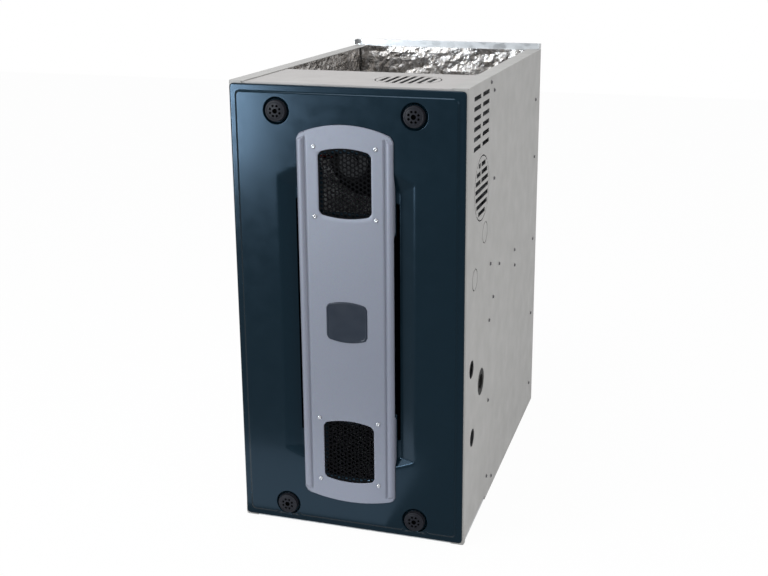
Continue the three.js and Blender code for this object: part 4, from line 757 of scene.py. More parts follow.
class DoorForm:
    """The pressed shape of the door: how deep its face lies at any place, and its outline."""
    corner_blend = 9.0 * MM
    bead_half, bead_height, bead_place = 3.6 * MM, 0.7 * MM, 1.4  # the place in rim slopes
    lip_half, lip_step, lip_margin, dimple_clear = 1.3 * MM, 0.43 * MM, 2.8 * MM, 2.0 * MM
    stud_rings = (18.0 * MM, 10.0 * MM, 4.8 * MM)
    recess_soft, recess_reach, recess_margin = 0.06, 0.2, 10.0 * MM
    hem_gap = 0.3 * MM

    def __init__(self):
        self.s = settings("door")
        self.half = DOOR_HIGH.x - self.s.side_reveal
        self.low, self.high = DOOR_LOW.z, DOOR_HIGH.z
        self.knobs = [(x, z) for x, z, _ in knob_centres()]
        self.square = self.s.dimple_radius + self.lip_margin

    def head(self, x, share):
        """Height of the recess outline at its head, from the outer edge (0) to the floor (1)."""
        s = self.s
        half = s.recess_half - share * s.recess_flank
        return s.recess_high - share * s.recess_bevel - arch_drop(x, half, s.recess_rise)

    def foot(self, x, share):
        """Height of the recess outline at its foot, from the outer edge (0) to the floor (1)."""
        s = self.s
        return s.recess_low + share * s.recess_toe + arch_drop(x, s.recess_half, s.recess_sag)

    def recess_share(self, x, z):
        """How far down the recess's bevel a place lies: 0 outside it and 1 on its floor."""
        flank = (self.s.recess_half - abs(x)) / self.s.recess_flank
        low, high, margin = -self.recess_reach, 1.0 + self.recess_reach, self.recess_margin
        if flank <= low or z > self.head(x, 0.0) + margin or z < self.foot(x, 0.0) - margin:
            return 0.0
        for _ in range(14):
            middle = (low + high) / 2.0
            inside = self.foot(x, middle) < z < self.head(x, middle)
            low, high = (middle, high) if inside else (low, middle)
        return eased(min(flank, low), self.recess_soft)

    def depth(self, x, z):
        """How far behind the door's foremost plane the face lies."""
        s, blend = self.s, self.corner_blend
        across = self.half - abs(x)
        along = min(z - self.low, self.high - z)
        mix = clamped(0.5 + 0.5 * (along - across) / blend)
        edge = along + (across - along) * mix - blend * mix * (1.0 - mix)
        depth = s.rim_step * (1.0 - smoothstep((edge - s.rim_width) / s.rim_slope))
        bead = edge - s.rim_width - self.bead_place * s.rim_slope
        depth -= self.bead_height * hump(bead, self.bead_half)
        for kx, kz in self.knobs:
            reach = math.hypot(x - kx, z - kz)
            if reach < self.square:
                fall = (reach - s.dimple_floor) / (s.dimple_radius - s.dimple_floor)
                depth = max(depth, s.dimple_depth * (1.0 - smoothstep(fall)))
                lip = reach - s.dimple_radius - self.lip_half
                depth -= s.dimple_lip * hump(lip, self.lip_half)
        return max(depth, s.recess_depth * self.recess_share(x, z))

    def plan(self, x, z):
        """The place of a grid point with the corners rounded, and its outward direction there."""
        radius = self.s.corner_radius
        u = abs(x) - (self.half - radius)
        top = z > (self.low + self.high) / 2.0
        v = z - (self.high - radius) if top else (self.low + radius) - z
        side, rise = math.copysign(1.0, x), 1.0 if top else -1.0
        if u > 0.0 and v > 0.0:
            u2, v2 = rounded(u, v)
            reach = math.hypot(u2, v2)
            return ((side * (self.half - radius + u2), z + rise * (v2 - v)),
                    (side * u2 / reach, rise * v2 / reach))
        return (x, z), ((side, 0.0) if u > v else (0.0, rise))


def door_openings(form):
    """The openings behind the bezel, each as its inner and outer reach, its foot and its head."""
    s, b = form.s, settings("bezel")
    window = b.window_half - b.hole_side
    return ((0.0, window, b.lower_low + b.hole_inset, b.lower_high - b.hole_inset),
            (0.0, window, b.upper_low + b.hole_inset, b.upper_high - b.hole_inset),
            (0.0, s.slot_outer, s.inlet_low, s.inlet_high),
            (s.slot_inner, s.slot_outer, s.slot_low, s.slot_high))


def door_grid(form, openings):
    """Column and row positions that follow the rim, the dimples, the recess and the openings."""
    s, square, edge = form.s, form.square, form.half
    roll, border, foot = 9 * MM, 24 * MM, 18 * MM  # where the grid turns finer near the edges
    (_, window, lower_low, lower_high), (_, _, upper_low, upper_high) = openings[:2]
    knob_x, knob_low = form.knobs[-1]
    knob_high = max(z for _, z in form.knobs)
    columns = lines(0.0, (window, 12), (s.slot_inner, 8), (s.slot_outer, 2),
                    (s.recess_half - s.recess_flank, 1), (knob_x - square, 2),
                    (s.recess_half, 3.1), (knob_x + square, 3.1), (edge - border, 3.4),
                    (edge - roll, 1.2), (edge - s.edge_radius, 2.4))
    low, high = form.low, form.high
    rows = lines(low + s.edge_radius, (knob_low - square, 2.2), (low + foot, 1.2),
                 (knob_low + square, 3.1), (lower_low, 8), (s.recess_low, 5),
                 (s.recess_low + s.recess_bevel, 1.8), (s.slot_low, 3.2), (lower_high, 3.2),
                 (s.inlet_low, 3.6), (s.inlet_high, 14), (upper_low, 3.6), (s.slot_high, 3.2),
                 (s.recess_high - s.recess_bevel, 3.2), (s.recess_high, 1.8), (upper_high, 5),
                 (knob_high - square, 6), (high - border, 3.1), (knob_high + square, 1.2),
                 (high - roll, 1.2), (high - s.edge_radius, 2.2))
    return mirrored(columns), rows


def shifted_row(form, x, row):
    """A row's height at x: rows at the recess's ends follow its arches and fade out beyond them."""
    s = form.s
    if s.inlet_low <= row <= s.inlet_high:
        return row
    if row > s.inlet_high:
        up, end, inlet, knob, outline = 1.0, s.recess_high, s.inlet_high, form.knobs[0], form.head
    else:
        up, end, inlet, knob, outline = -1.0, s.recess_low, s.inlet_low, form.knobs[-1], form.foot
    share = clamped(up * (end - row) / s.recess_bevel)
    shift = outline(min(abs(x), s.recess_half), share) - (end - up * share * s.recess_bevel)
    near = (row - inlet) / (end - up * s.recess_bevel - inlet)
    limit = knob[1] - up * (s.dimple_radius + form.dimple_clear)
    far = max(0.0, (limit - row) / (limit - end))
    return row + shift * min(1.0, near, far)


def build_door():
    form, shell = DoorForm(), Shell()
    openings = door_openings(form)
    columns, rows = door_grid(form, openings)

    def open_at(i, j):
        x, z = (columns[i] + columns[i + 1]) / 2.0, (rows[j] + rows[j + 1]) / 2.0
        return any(near < abs(x) < far and low < z < high for near, far, low, high in openings) \
            or any(max(abs(x - kx), abs(z - kz)) < form.square for kx, kz in form.knobs)

    def corner(i, j):
        def point():
            x, z = columns[i], shifted_row(form, columns[i], rows[j])
            across, up = form.plan(x, z)[0]
            return across, DOOR_FACE + form.depth(x, z), up
        return shell.keyed((i, j), point)

    shell.grid(columns, rows, corner, open_at)
    for kx, kz in form.knobs:
        keys = border_keys(columns, rows, kx, kz, form.square, form.square)
        fill_dimple(form, shell, [corner(*key) for key in keys], kx, kz)
    hem_door(form, shell, columns, rows, corner)
    made = thicken(shell.piece("door_pressing", "navy_gloss"), form.s.sheet)
    settle(made, "outer_door", "navy_gloss", "door_panel")


def loop_keys(i0, i1, j0, j1):
    """Grid indices round a rectangle of a grid, anticlockwise as the viewer sees it."""
    keys = [(i, j0) for i in range(i0, i1)] + [(i1, j) for j in range(j0, j1)]
    return keys + [(i, j1) for i in range(i1, i0, -1)] + [(i0, j) for j in range(j1, j0, -1)]


def border_keys(columns, rows, x, z, half, tall):
    """Grid indices round the rectangle about (x, z) of that half width and half height."""
    def nearest(places, value):
        return min(range(len(places)), key=lambda k: abs(places[k] - value))
    return loop_keys(nearest(columns, x - half), nearest(columns, x + half),
                     nearest(rows, z - tall), nearest(rows, z + tall))


def fill_dimple(form, shell, outer, kx, kz):
    """Fills the square left round a knob with rings that follow the dimple, down to the stud hole."""
    s = form.s
    radii = [s.dimple_radius + form.lip_step * k for k in range(6, 0, -1)]
    radii += [s.dimple_floor + (s.dimple_radius - s.dimple_floor) * k / 6.0 for k in range(6, -1, -1)]
    radii += form.stud_rings
    rays = [(shell.verts[number][0] - kx, shell.verts[number][2] - kz) for number in outer]

    def ring(radius):
        for x, z in rays:
            reach = math.hypot(x, z)
            px, pz = kx + x * radius / reach, kz + z * radius / reach
            yield px, DOOR_FACE + form.depth(px, pz), pz

    shell.grow(outer, map(ring, radii))


def hem_door(form, shell, columns, rows, corner):
    """Rolls the door's edge over and runs the hem back to the casing."""
    s, diagonal = form.s, math.sqrt(0.5)
    edge = form.half - s.edge_radius
    keys = loop_keys(0, len(columns) - 1, 0, len(rows) - 1)
    first = [corner(*key) for key in keys]
    directions = []
    for i, j in keys:
        if i in (0, len(columns) - 1) and j in (0, len(rows) - 1):
            directions.append((math.copysign(diagonal, columns[i]), diagonal if j else -diagonal))
        else:
            directions.append(form.plan(columns[i] * form.half / edge, rows[j])[1])
    turns = [math.radians(angle) for angle in (25.0, 50.0, 72.0, 90.0)]
    loops = [(math.sin(turn), s.rim_step + s.edge_radius * (1.0 - math.cos(turn))) for turn in turns]
    loops.append((1.0, CASE_FRONT - DOOR_FACE - form.hem_gap))
    starts = [shell.verts[number] for number in first]
    shell.grow(first, ([(x + dx * out * s.edge_radius, DOOR_FACE + depth, z + dz * out * s.edge_radius)
                        for (x, _, z), (dx, dz) in zip(starts, directions)]
                       for out, depth in loops), turned=True)


def build_slot_shade_strips():
    """Painted shade: black angle strips behind the air slots, a dark sheet that keeps the slots as dark
    as deep shade, so light doesn't come back out.
    """
    s = settings("door")
    gap, corner, sheet, lap = 0.4 * MM, 1.6 * MM, 0.8 * MM, s.baffle_lap
    face = DOOR_HIGH.y + gap
    deep = face + s.baffle_depth
    turns = [math.pi / 8.0 * k for k in range(5)]
    heights = lines(s.slot_low - lap, (s.slot_high + lap, 40))
    for name, side in (("left", -1.0), ("right", 1.0)):
        near, far = side * (s.slot_inner - lap), side * (s.slot_outer + lap)
        section = [(near, face)]
        section += [(near + side * corner * (1.0 - math.cos(turn)),
                     deep - corner * (1.0 - math.sin(turn))) for turn in turns]
        section += [(far - side * corner, deep), (far, deep - 0.5 * corner)]
        shell = Shell()
        shell.bands([[(x, y, z) for x, y in section] for z in heights], closed=False)
        # Painted shade: the strip takes the near-black finish so the slot reads as deep shade.
        made = thicken(shell.piece(name + "_slot_baffle", "dark_cut"), sheet, 0.0)
        face_outwards(made.data)
        settle(made, "outer_door", "black_mesh")


class FURNACE_OT_door(bpy.types.Operator):
    """Presses the outer door with its rolled rim, bead, knob dimples and bevelled recess"""
    bl_idname = "furnace.door"
    bl_label = "Outer Door"

    def execute(self, context):
        build_door()
        build_slot_shade_strips()
        return {"FINISHED"}


# ---- the bezel ----
class BezelForm:
    """The satin strip: its arched ends, its two ribs and its two windows."""
    rib_foot, groove_start, groove_width = 1.14, 0.94, 0.20  # in shares of the rib's width
    rib_end, rib_crown, rib_fullness = 4.0 * MM, 2.4, 0.75
    rim_roll, window_roll = 1.2 * MM, 0.8 * MM
    slot_from, slot_margin, slot_gap, seat_gap = 85.0 * MM, 5.0 * MM, 1.4 * MM, 0.3 * MM

    def __init__(self):
        self.s = settings("bezel")
        self.half = BEZEL_HIGH.x
        self.low, self.high = BEZEL_LOW.z, BEZEL_HIGH.z
        self.face = BEZEL_LOW.y + self.s.rib_height
        self.windows = ((self.s.lower_low, self.s.lower_high), (self.s.upper_low, self.s.upper_high))

    def curves(self, x):
        """Heights, at x, of foot, lower window's two ends, upper window's two ends and head."""
        s = self.s
        foot, head = (arch_drop(x, s.window_half, rise) for rise in (s.window_sag, s.window_rise))
        return (self.low + arch_drop(x, self.half, s.sag), s.lower_low + foot, s.lower_high - head,
                s.upper_low + foot, s.upper_high - head, self.high - arch_drop(x, self.half, s.rise))

    def height(self, x, z):
        """How far the surface stands in front of the flat face."""
        s = self.s
        across = (self.half - abs(x)) / s.rib_width
        if across >= self.rib_foot:
            return 0.0
        foot, *_, head = self.curves(x)
        ends = smoothstep((z - foot - s.rib_inset) / self.rib_end) \
            * smoothstep((head - s.rib_inset - z) / self.rib_end)
        crown = (1.0 - abs(2.0 * clamped(across) - 1.0) ** self.rib_crown) ** self.rib_fullness
        groove = max(0.0, across - self.groove_start) / self.groove_width
        return (s.rib_height * crown - s.groove * math.sin(math.pi * groove)) * ends


def window_corner(form, x, z, curves):
    """Pulls the window's corner points onto round corners."""
    half, radius, hair = form.s.window_half, form.s.window_corner, 0.01 * MM
    u = abs(x) - (half - radius)
    if 0.0 < u <= radius + hair:
        for low, high in (curves[1:3], curves[3:5]):
            for centre, rise in ((high - radius, 1.0), (low + radius, -1.0)):
                v = rise * (z - centre)
                if 0.0 < v <= radius + hair and max(u, v) > radius - 0.05 * MM:
                    u2, v2 = rounded(u, v)
                    return math.copysign(half - radius + u2, x), centre + rise * v2
    return x, z


def build_bezel():
    form, shell = BezelForm(), Shell()
    s, corner, hair = form.s, form.s.corner_radius, 0.01 * MM
    columns = mirrored(lines(0.0, (s.window_half - s.window_corner, 4.2), (s.window_half, 1),
                             (form.half - form.rib_foot * s.rib_width, 4), (form.half, 0.75)))
    heights = form.curves(0.0)
    rows = []
    for span, step in enumerate((1.4, 1.4, 9.0, 1.4, 1.4)):
        count = math.ceil((heights[span + 1] - heights[span]) / (step * MM))
        rows += [(span, k / count) for k in range(count)]
    rows.append((4, 1.0))

    def vertex(i, j):
        def point():
            x, (span, share), curves = columns[i], rows[j], form.curves(columns[i])
            z = curves[span] + (curves[span + 1] - curves[span]) * share
            px, pz = window_corner(form, x, z, curves)
            u = abs(x) - (form.half - corner)
            for base, rise in ((curves[5] - corner, 1.0), (curves[0] + corner, -1.0)):
                v = rise * (z - base)
                if u > 0.0 and v > 0.0:
                    u2, v2 = rounded(u, v)
                    px, pz = math.copysign(form.half - corner + u2, x), base + rise * v2
            return px, form.face - form.height(x, z), pz
        return shell.keyed((i, j), point)

    def open_at(i, j):
        across = abs(columns[i] + columns[i + 1]) / 2.0
        return rows[j][0] in (1, 3) and across < s.window_half - hair

    shell.grid(columns, rows, vertex, open_at)
    door = DoorForm()

    def behind_edge(x, y, z):
        """Where the strip's wall ends: on the door, or behind the sheet beside the air slots."""
        margin = min(z - door.s.inlet_low, door.s.inlet_high - z)
        if margin > -form.slot_margin and abs(x) > form.slot_from:
            return x, form.face + s.sheet + form.slot_gap, z
        return x, DOOR_FACE + door.depth(x, z) - form.seat_gap, z

    outline = loop_keys(0, len(columns) - 1, 0, len(rows) - 1)
    roll_edge(shell, [vertex(*key) for key in outline], form.rim_roll, -1.0, behind_edge)
    inside = [i for i, x in enumerate(columns) if abs(x) <= s.window_half + hair]
    for start in (1, 3):
        spans = [j for j, (span, _) in enumerate(rows) if span == start]
        keys = loop_keys(inside[0], inside[-1], spans[0], spans[-1] + 1)
        roll_edge(shell, [vertex(*key) for key in keys], form.window_roll, 1.0,
                  lambda x, y, z: (x, y + s.sheet, z))
    settle(shell.piece("bezel_strip", "bezel_satin"), "outer_door", "bezel_satin", "centre_bezel")


def loop_directions(loop, verts):
    """Outward directions in the XZ plane along a closed loop of vertices."""
    found = []
    for k in range(len(loop)):
        before, after = verts[loop[k - 1]], verts[loop[(k + 1) % len(loop)]]
        along = Vector((after[0] - before[0], after[2] - before[2]))
        found.append((along.y / along.length, -along.x / along.length) if along.length else (0.0, 0.0))
    return found


def roll_edge(shell, loop, radius, sign, last):
    """Rounds the edge along a loop, outwards or inwards, and runs it back to where last puts it."""
    directions = loop_directions(loop, shell.verts)
    start = [shell.verts[number] for number in loop]

    def shifted(out, back):
        return [(x + sign * out * dx, y + back, z + sign * out * dz)
                for (x, y, z), (dx, dz) in zip(start, directions)]

    turns = [math.radians(angle) for angle in (30.0, 60.0, 90.0)]
    rings = [shifted(radius * (1.0 - math.sin(turn)), radius * (1.0 - math.cos(turn)))
             for turn in turns]
    rings.append([last(*spot) for spot in start])
    shell.grow(loop, rings, turned=sign < 0.0)
    for number, spot in zip(loop, shifted(radius, 0.0)):
        shell.verts[number] = spot


class FURNACE_OT_bezel(bpy.types.Operator):
    """Forms the satin strip with its arched ends, upright ribs and rolled windows"""
    bl_idname = "furnace.bezel"
    bl_label = "Centre Bezel"

    def execute(self, context):
        build_bezel()
        return {"FINISHED"}


# ---- grilles ----
def window_outline(form, low, high, inset, steps=14):
    """Points round a window, anticlockwise from its lower left corner, inset all round."""
    half = form.s.window_half - inset
    across = [-half + 2 * half * k / steps for k in range(steps + 1)]
    foot = [(x, low + inset + arch_drop(x, half, form.s.window_sag)) for x in across]
    return foot + [(-x, high - inset - arch_drop(x, half, form.s.window_rise)) for x in across]


def build_grilles():
    bezel, g, tree = BezelForm(), settings("grille"), honeycomb_tree()
    for node, window in zip(("lower_grille", "upper_grille"), bezel.windows):
        low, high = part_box(node)
        centre, size = (low + high) / 2.0, (high - low) / 2.0
        made = grow(node + "_mesh", bpy.data.meshes.new(node + "_seed"), tree, "black_mesh",
                    Pitch=g.pitch, Bar=g.bar, Thickness=g.thickness, Half_Width=size.x - g.lap,
                    Half_Height=size.z - g.lap, Centre=(0.0, centre.y, centre.z))
        settle(made, "outer_door", "black_mesh", node)
        build_grille_border(bezel, node, window, low, high)


def build_grille_border(bezel, node, window, low, high):
    """The plain margin that holds the honeycomb behind the window."""
    inner = window_outline(bezel, *window, settings("grille").border)
    half, spread = len(inner) // 2, 1.06
    outer = [(max(low.x, min(high.x, x * spread)), low.z if k < half else high.z)
             for k, (x, _) in enumerate(inner)]
    shell = Shell()
    front_out, front_in, back_out, back_in = (shell.row((x, y, z) for x, z in outline)
                                              for y in (low.y, high.y) for outline in (outer, inner))
    shell.band(front_out, front_in)
    shell.band(back_out, back_in, turned=True)
    shell.band(front_in, back_in)
    shell.band(front_out, back_out, turned=True)
    made = shell.piece(node + "_border", "black_mesh", False)
    settle(made, "outer_door", "black_mesh", node)


class FURNACE_OT_grilles(bpy.types.Operator):
    """Fills both windows with hexagonal mesh inside a plain margin"""
    bl_idname = "furnace.grilles"
    bl_label = "Grilles"

    def execute(self, context):
        build_grilles()
        return {"FINISHED"}


# ---- knobs and badge ----
# The turned knobs: the bead's place is a share of the radius, from and to are off the rim.
KNOB = {"dome": 1.3 * MM, "edge": 1.5 * MM, "bead_place": 0.80, "bead_half": 0.55 * MM,
        "bead": 0.35 * MM, "bead_from": 4.6 * MM, "bead_to": 3.2 * MM, "centre": 0.9 * MM,
        "deep": 4.0 * MM, "painted_shade_from": 1.9 * MM, "skirt": 4.2 * MM, "holes": 8, "sides": 128}


def knob_height(reach, angle, s):
    """How far back the knob's face lies at a radius and an angle."""
    if reach < s.knob_bore:
        return KNOB["deep"]
    edge = max(0.0, reach - (s.knob_radius - KNOB["edge"]))
    dome = KNOB["dome"] * (reach / s.knob_radius) ** 2.2
    dome += KNOB["edge"] - math.sqrt(max(0.0, KNOB["edge"] ** 2 - edge * edge))
    for k in range(KNOB["holes"]):
        turn = angle - (k + 0.5) * 2.0 * math.pi / KNOB["holes"]
        away = math.hypot(reach * math.cos(turn) - s.knob_ring, reach * math.sin(turn))
        if away < s.knob_hole and math.cos(turn) > 0.0:
            return dome + KNOB["deep"] * 0.55
    bead = abs(reach - s.knob_radius * KNOB["bead_place"]) / KNOB["bead_half"]
    return dome + KNOB["bead"] * max(0.0, 1.0 - bead)


def build_knobs():
    s, sides, hair = settings("fittings"), KNOB["sides"], 0.4 * MM
    radii = lines(KNOB["centre"], (s.knob_bore - 0.2 * MM, 1.3), (s.knob_bore, 0.2),
                  (s.knob_ring - s.knob_hole - hair, 1.5), (s.knob_ring + s.knob_hole + hair, 0.35),
                  (s.knob_radius - KNOB["bead_from"], 1.4), (s.knob_radius - KNOB["bead_to"], 0.3),
                  (s.knob_radius, 0.4))
    skirt = DOOR_FACE + KNOB["skirt"]
    for kx, kz, corner in knob_centres():
        node, body = "knob_" + corner, corner + "_latch"
        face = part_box(node)[0].y
        shell = Shell()
        centre, = shell.row([(kx, face + KNOB["deep"], kz)])
        rings = shell.bands([(kx + x, face + knob_height(radius, math.atan2(z, x), s), kz + z)
                             for x, z in on_ring(radius, sides)] for radius in radii)
        first = rings[0]
        shell.faces.extend((first[k], first[(k + 1) % sides], centre) for k in range(sides))
        turned = len(shell.faces)
        end = shell.grow(rings[-1], [[(shell.verts[k][0], skirt, shell.verts[k][2])
                                      for k in rings[-1]]])
        shell.faces.append(tuple(end[::-1]))
        made = shell.piece(node + "_turned", "black_plastic", 50.0)
        # Painted shade: faces deep in the bore and the ring of holes get the near-black finish, darker
        # than the knob's own plastic.
        made.data.materials.append(FINISHES["dark_cut"].material)
        for polygon in made.data.polygons[:turned]:
            polygon.material_index = int(polygon.center.y > face + KNOB["painted_shade_from"])
        settle(made, body, "black_plastic", node)
        shank = cad_copy(node)
        bmesh.ops.bisect_plane(shank, geom=shank.verts[:] + shank.edges[:] + shank.faces[:],
                               plane_co=(0.0, skirt + 0.05 * MM, 0.0), plane_no=(0.0, -1.0, 0.0),
                               clear_outer=True)
        bmesh.ops.holes_fill(shank, edges=[edge for edge in shank.edges if edge.is_boundary])
        settle(piece_from(node + "_shank", shank, "galvanised", 35.0), body, "black_plastic", node)


def build_badge():
    """A bare arched plate with a softly rolled edge, set on the bezel."""
    low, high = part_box("badge_plate")
    s, steps = settings("fittings"), 28
    half, corner, middle = high.x, s.badge_corner, (low.z + high.z) / 2.0
    tall = high.z - middle
    outline = []
    for side, tip in ((-1.0, low.z), (1.0, high.z)):
        for k in range(steps + 1):
            x = side * half * (1.0 - 2.0 * (k / steps))
            gap = max(0.0, corner - (half - abs(x)))
            drop = arch_drop(x, half, s.badge_arch) + corner - math.sqrt(corner ** 2 - gap ** 2)
            outline.append((x, tip - side * drop))
    profile = ((0.0, high.y), (0.0, low.y + 0.7 * MM), (0.3 * MM, low.y + 0.25 * MM),
               (0.9 * MM, low.y), (3.2 * MM, low.y), (3.6 * MM, low.y + 0.3 * MM),
               (4.2 * MM, low.y + 0.3 * MM))
    shell = Shell()
    rings = shell.bands([(x * (half - inset) / half, y, middle + (z - middle) * (tall - inset) / tall)
                         for x, z in outline] for inset, y in profile)
    shell.faces.append(tuple(rings[-1]))
    made = shell.piece("badge_blank", "slate_plate", 35.0)
    settle(made, "outer_door", "slate_plate", "badge_plate")


class FURNACE_OT_knobs(bpy.types.Operator):
    """Turns the four door knobs and rolls the edge of the bare badge plate"""
    bl_idname = "furnace.knobs"
    bl_label = "Knobs and Badge"

    def execute(self, context):
        build_knobs()
        build_badge()
        return {"FINISHED"}


# ---- finishes on the CAD nodes ----
def node_finishes():
    """The finish of every CAD node, found by the words in its name; later rules overrule."""
    rules = (("grey_paint", "side_panel"), ("pale_paint", "top_cover"), ("navy_gloss", "door_panel"),
             ("bezel_satin", "centre_bezel"), ("black_mesh", "_grille"), ("slate_plate", "badge_plate"),
             ("black_plastic", "knob_ inducer_housing limit_switch rollout_switch pressure_switch "
                               "door_switch"), ("rubber", "pipe_grommet door_gasket"),
             ("foil_liner", "liner"),
             ("aluminised", "exchanger_cell burner_1 burner_2 burner_3 burner_4 flue_collector"),
             ("dark_steel", "inducer_wheel gas_manifold motor_mount transformer"),
             ("cast_alloy", "gas_valve"), ("motor_shell", "inducer_motor blower_motor"),
             ("circuit_board", "control_board"), ("ceramic", "igniter flame_sensor plunger"),
             ("silicone_hose", "pressure_hose"), ("red_wire", "gas_valve_knob wiring_harness"))
    found = dict.fromkeys(frame["nodes"], "galvanised")
    for node in found:
        for slot, words in rules:
            if any(word in node for word in words.split()):
                found[node] = slot
    return found


class FURNACE_OT_finishes(bpy.types.Operator):
    """Makes every finish and gives each carried-over piece its own"""
    bl_idname = "furnace.finishes"
    bl_label = "Finishes"

    def execute(self, context):
        make_finishes()
        for node, slot in node_finishes().items():
            piece = frame["nodes"][node]
            for place in piece.material_slots:
                place.link = "OBJECT"
                place.material = FINISHES[slot].material
        return {"FINISHED"}


# ---- rolled copies of CAD pieces ----
# Rounding of the sharp edges in millimetres, and the pieces that have it.
EDGE_ROLLS = (
    (0.35, "back_panel base_pan top_cover vestibule_panel blower_deck blower_door control_bracket "
           "burner_box motor_mount blower_housing vent_collar inducer_wheel burner_1 burner_2 "
           "burner_3 burner_4"),
    (0.6, "limit_switch rollout_switch pressure_switch door_switch igniter flame_sensor "
          "gas_valve_knob door_switch_plunger pressure_hose gas_manifold"),
    (1.0, "flue_collector junction_box pipe_grommet transformer"),
    (1.8, "gas_valve inducer_housing inducer_motor blower_motor"),
)


def rolled_copy(node, radius, bend=None):
    """Stands for a CAD piece with its sharp edges rolled over; bend rounds its front corner first."""
    bm, hair, long_edge = cad_copy(node), 0.05 * MM, 30 * MM
    if bend:
        front = [edge for edge in bm.edges if edge.calc_length() > long_edge
                 and all(abs(v.co.y - CASE_FRONT) < hair and abs(abs(v.co.x) - CASE_SIDE) < hair
                         for v in edge.verts)]
        bmesh.ops.bevel(bm, geom=front, offset=bend, offset_type="OFFSET", segments=6, profile=0.5,
                        affect="EDGES", clamp_overlap=True)
    slot = node_finishes()[node]
    made = piece_from(node + "_rolled", bm, slot, 34.0)
    edge = made.modifiers.new("Edge", "BEVEL")
    edge.width, edge.segments = radius, 2
    edge.limit_method, edge.angle_limit = "ANGLE", math.radians(36.0)
    edge.harden_normals = True
    return settle(bake_modifiers(made), BODY_OF[node], slot, node)


class FURNACE_OT_rolled_edges(bpy.types.Operator):
    """Rolls over the sharp edges of the sheets, castings and moulded parts"""
    bl_idname = "furnace.rolled_edges"
    bl_label = "Rolled Edges"

    def execute(self, context):
        s = settings("fittings")
        for radius, nodes in EDGE_ROLLS:
            for node in nodes.split():
                rolled_copy(node, radius * MM)
        for side in ("left", "right"):
            rolled_copy(side + "_side_panel", s.edge_roll, s.corner_roll)
        return {"FINISHED"}


# ---- fasteners ----
def turned_head(name, slot, radius, profile, sides, recess=None):
    """A turned head round +Z from (reach, height) pairs in shares of its radius.

    recess dents a cross into its crown: its reach and its depth, in the same shares.
    """
    def ring(reach, height):
        cross = recess and reach <= recess[0]
        for k, (x, y) in enumerate(on_ring(radius * reach, sides)):
            dent = recess[1] if cross and k % (sides // 4) == 0 else 0.0
            yield x, y, radius * (height - dent)

    shell = Shell()
    rings = shell.bands(ring(*pair) for pair in profile)
    shell.faces += [tuple(rings[0][::-1]), tuple(rings[-1])]
    return shell.piece(name, slot)


def pan_head(radius):
    profile = ((0.55, -0.4), (1.0, 0.0), (1.0, 0.14), (0.90, 0.36), (0.70, 0.52), (0.50, 0.59),
               (0.22, 0.50), (0.06, 0.42))
    return turned_head("pan_head", "zinc_screw", radius, profile, 16, (0.52, 0.20))


def hex_head(radius):
    """A washer-faced hexagon head: the washer, then six flats with a turned crown."""
    profile = ((0.5, -0.3), (1.0, 0.0), (0.97, 0.12), (0.72, 0.16), (0.70, 0.50), (0.60, 0.58),
               (0.2, 0.56))
    made = turned_head("hex_head", "casing_screw", radius, profile, 18)
    across_flats, sixth = 0.62 * radius, math.pi / 3.0
    for vertex in made.data.vertices:
        x, y, z = vertex.co
        if 0.14 * radius < z < 0.52 * radius:
            turn = (math.atan2(y, x) + sixth / 2.0) % sixth - sixth / 2.0
            flat = across_flats / math.cos(turn) / math.hypot(x, y)
            vertex.co.x, vertex.co.y = x * flat, y * flat
    return made


def set_heads(name, slot, head, points, facing, body):
    """Sets a copy of a head on every point, facing along a direction."""
    made = grow(name, path_mesh(name, points, False), fastener_tree(), slot, Head=head,
                Facing=facing)
    smooth_by_angle(made.data, 38.0)
    return settle(made, body, "galvanised")


# Places of the casing's screws in millimetres: behind the door's face or from the middle, and up.
SIDE_SCREWS = ((189, 853), (216, 835), (227, 664), (207, 498), (292, 474), (238, 421), (204, 383),
               (205, 213), (202, 47), (248, 25), (453, 459), (459, 423), (670, 755), (670, 623),
               (678, 425), (678, 240), (678, 60))
FRONT_SCREWS = ((-206, 470), (206, 470), (-206, 60), (206, 60))


class FURNACE_OT_fasteners(bpy.types.Operator):
    """Sets the pan heads of the bezel and the hexagon heads of the casing"""
    bl_idname = "furnace.fasteners"
    bl_label = "Fasteners"

    def execute(self, context):
        b, s, bezel = settings("bezel"), settings("fittings"), BezelForm()
        pan, hexagon = pan_head(s.screw_radius), hex_head(s.casing_screw)
        forward, sheet, edge = (0.0, -1.0, 0.0), 1.2 * MM, 9.0 * MM
        spots = [(side * b.screw_x, bezel.face, tip + b.screw_inset) for side in (-1.0, 1.0)
                 for window in bezel.windows for tip in window]
        set_heads("bezel_screws", "zinc_screw", pan, spots, forward, "outer_door")
        for name, side in (("left", -1.0), ("right", 1.0)):
            spots = [(side * CASE_SIDE, DOOR_FACE + depth * MM, z * MM) for depth, z in SIDE_SCREWS]
            set_heads(name + "_casing_screws", "casing_screw", hexagon, spots, (side, 0.0, 0.0),
                      "casing")
        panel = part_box("vestibule_panel")[1].y - sheet
        set_heads("vestibule_screws", "casing_screw", hexagon,
                  [(x * MM, panel, z * MM) for x, z in FRONT_SCREWS], forward, "casing")
        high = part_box("blower_door")[1]
        spots = [(side * (high.x - edge), high.y - sheet, high.z - edge) for side in (-1.0, 1.0)]
        set_heads("inner_door_screws", "casing_screw", hexagon, spots, forward, "inner_door")
        for head in (pan, hexagon):
            bpy.data.objects.remove(head)
        return {"FINISHED"}


# ---- liners ----
def crease(spot, depth):
    """Depth of crumpled foil at a place: sharp ridges of three sizes, from thin noise."""
    total = sum(share * (1.0 - 2.0 * abs(noise.noise(Vector(spot) / (size * MM))))
                for size, share in ((64.0, 0.5), (27.0, 0.32), (13.0, 0.18)))
    return depth * (2.0 * total - 1.0)


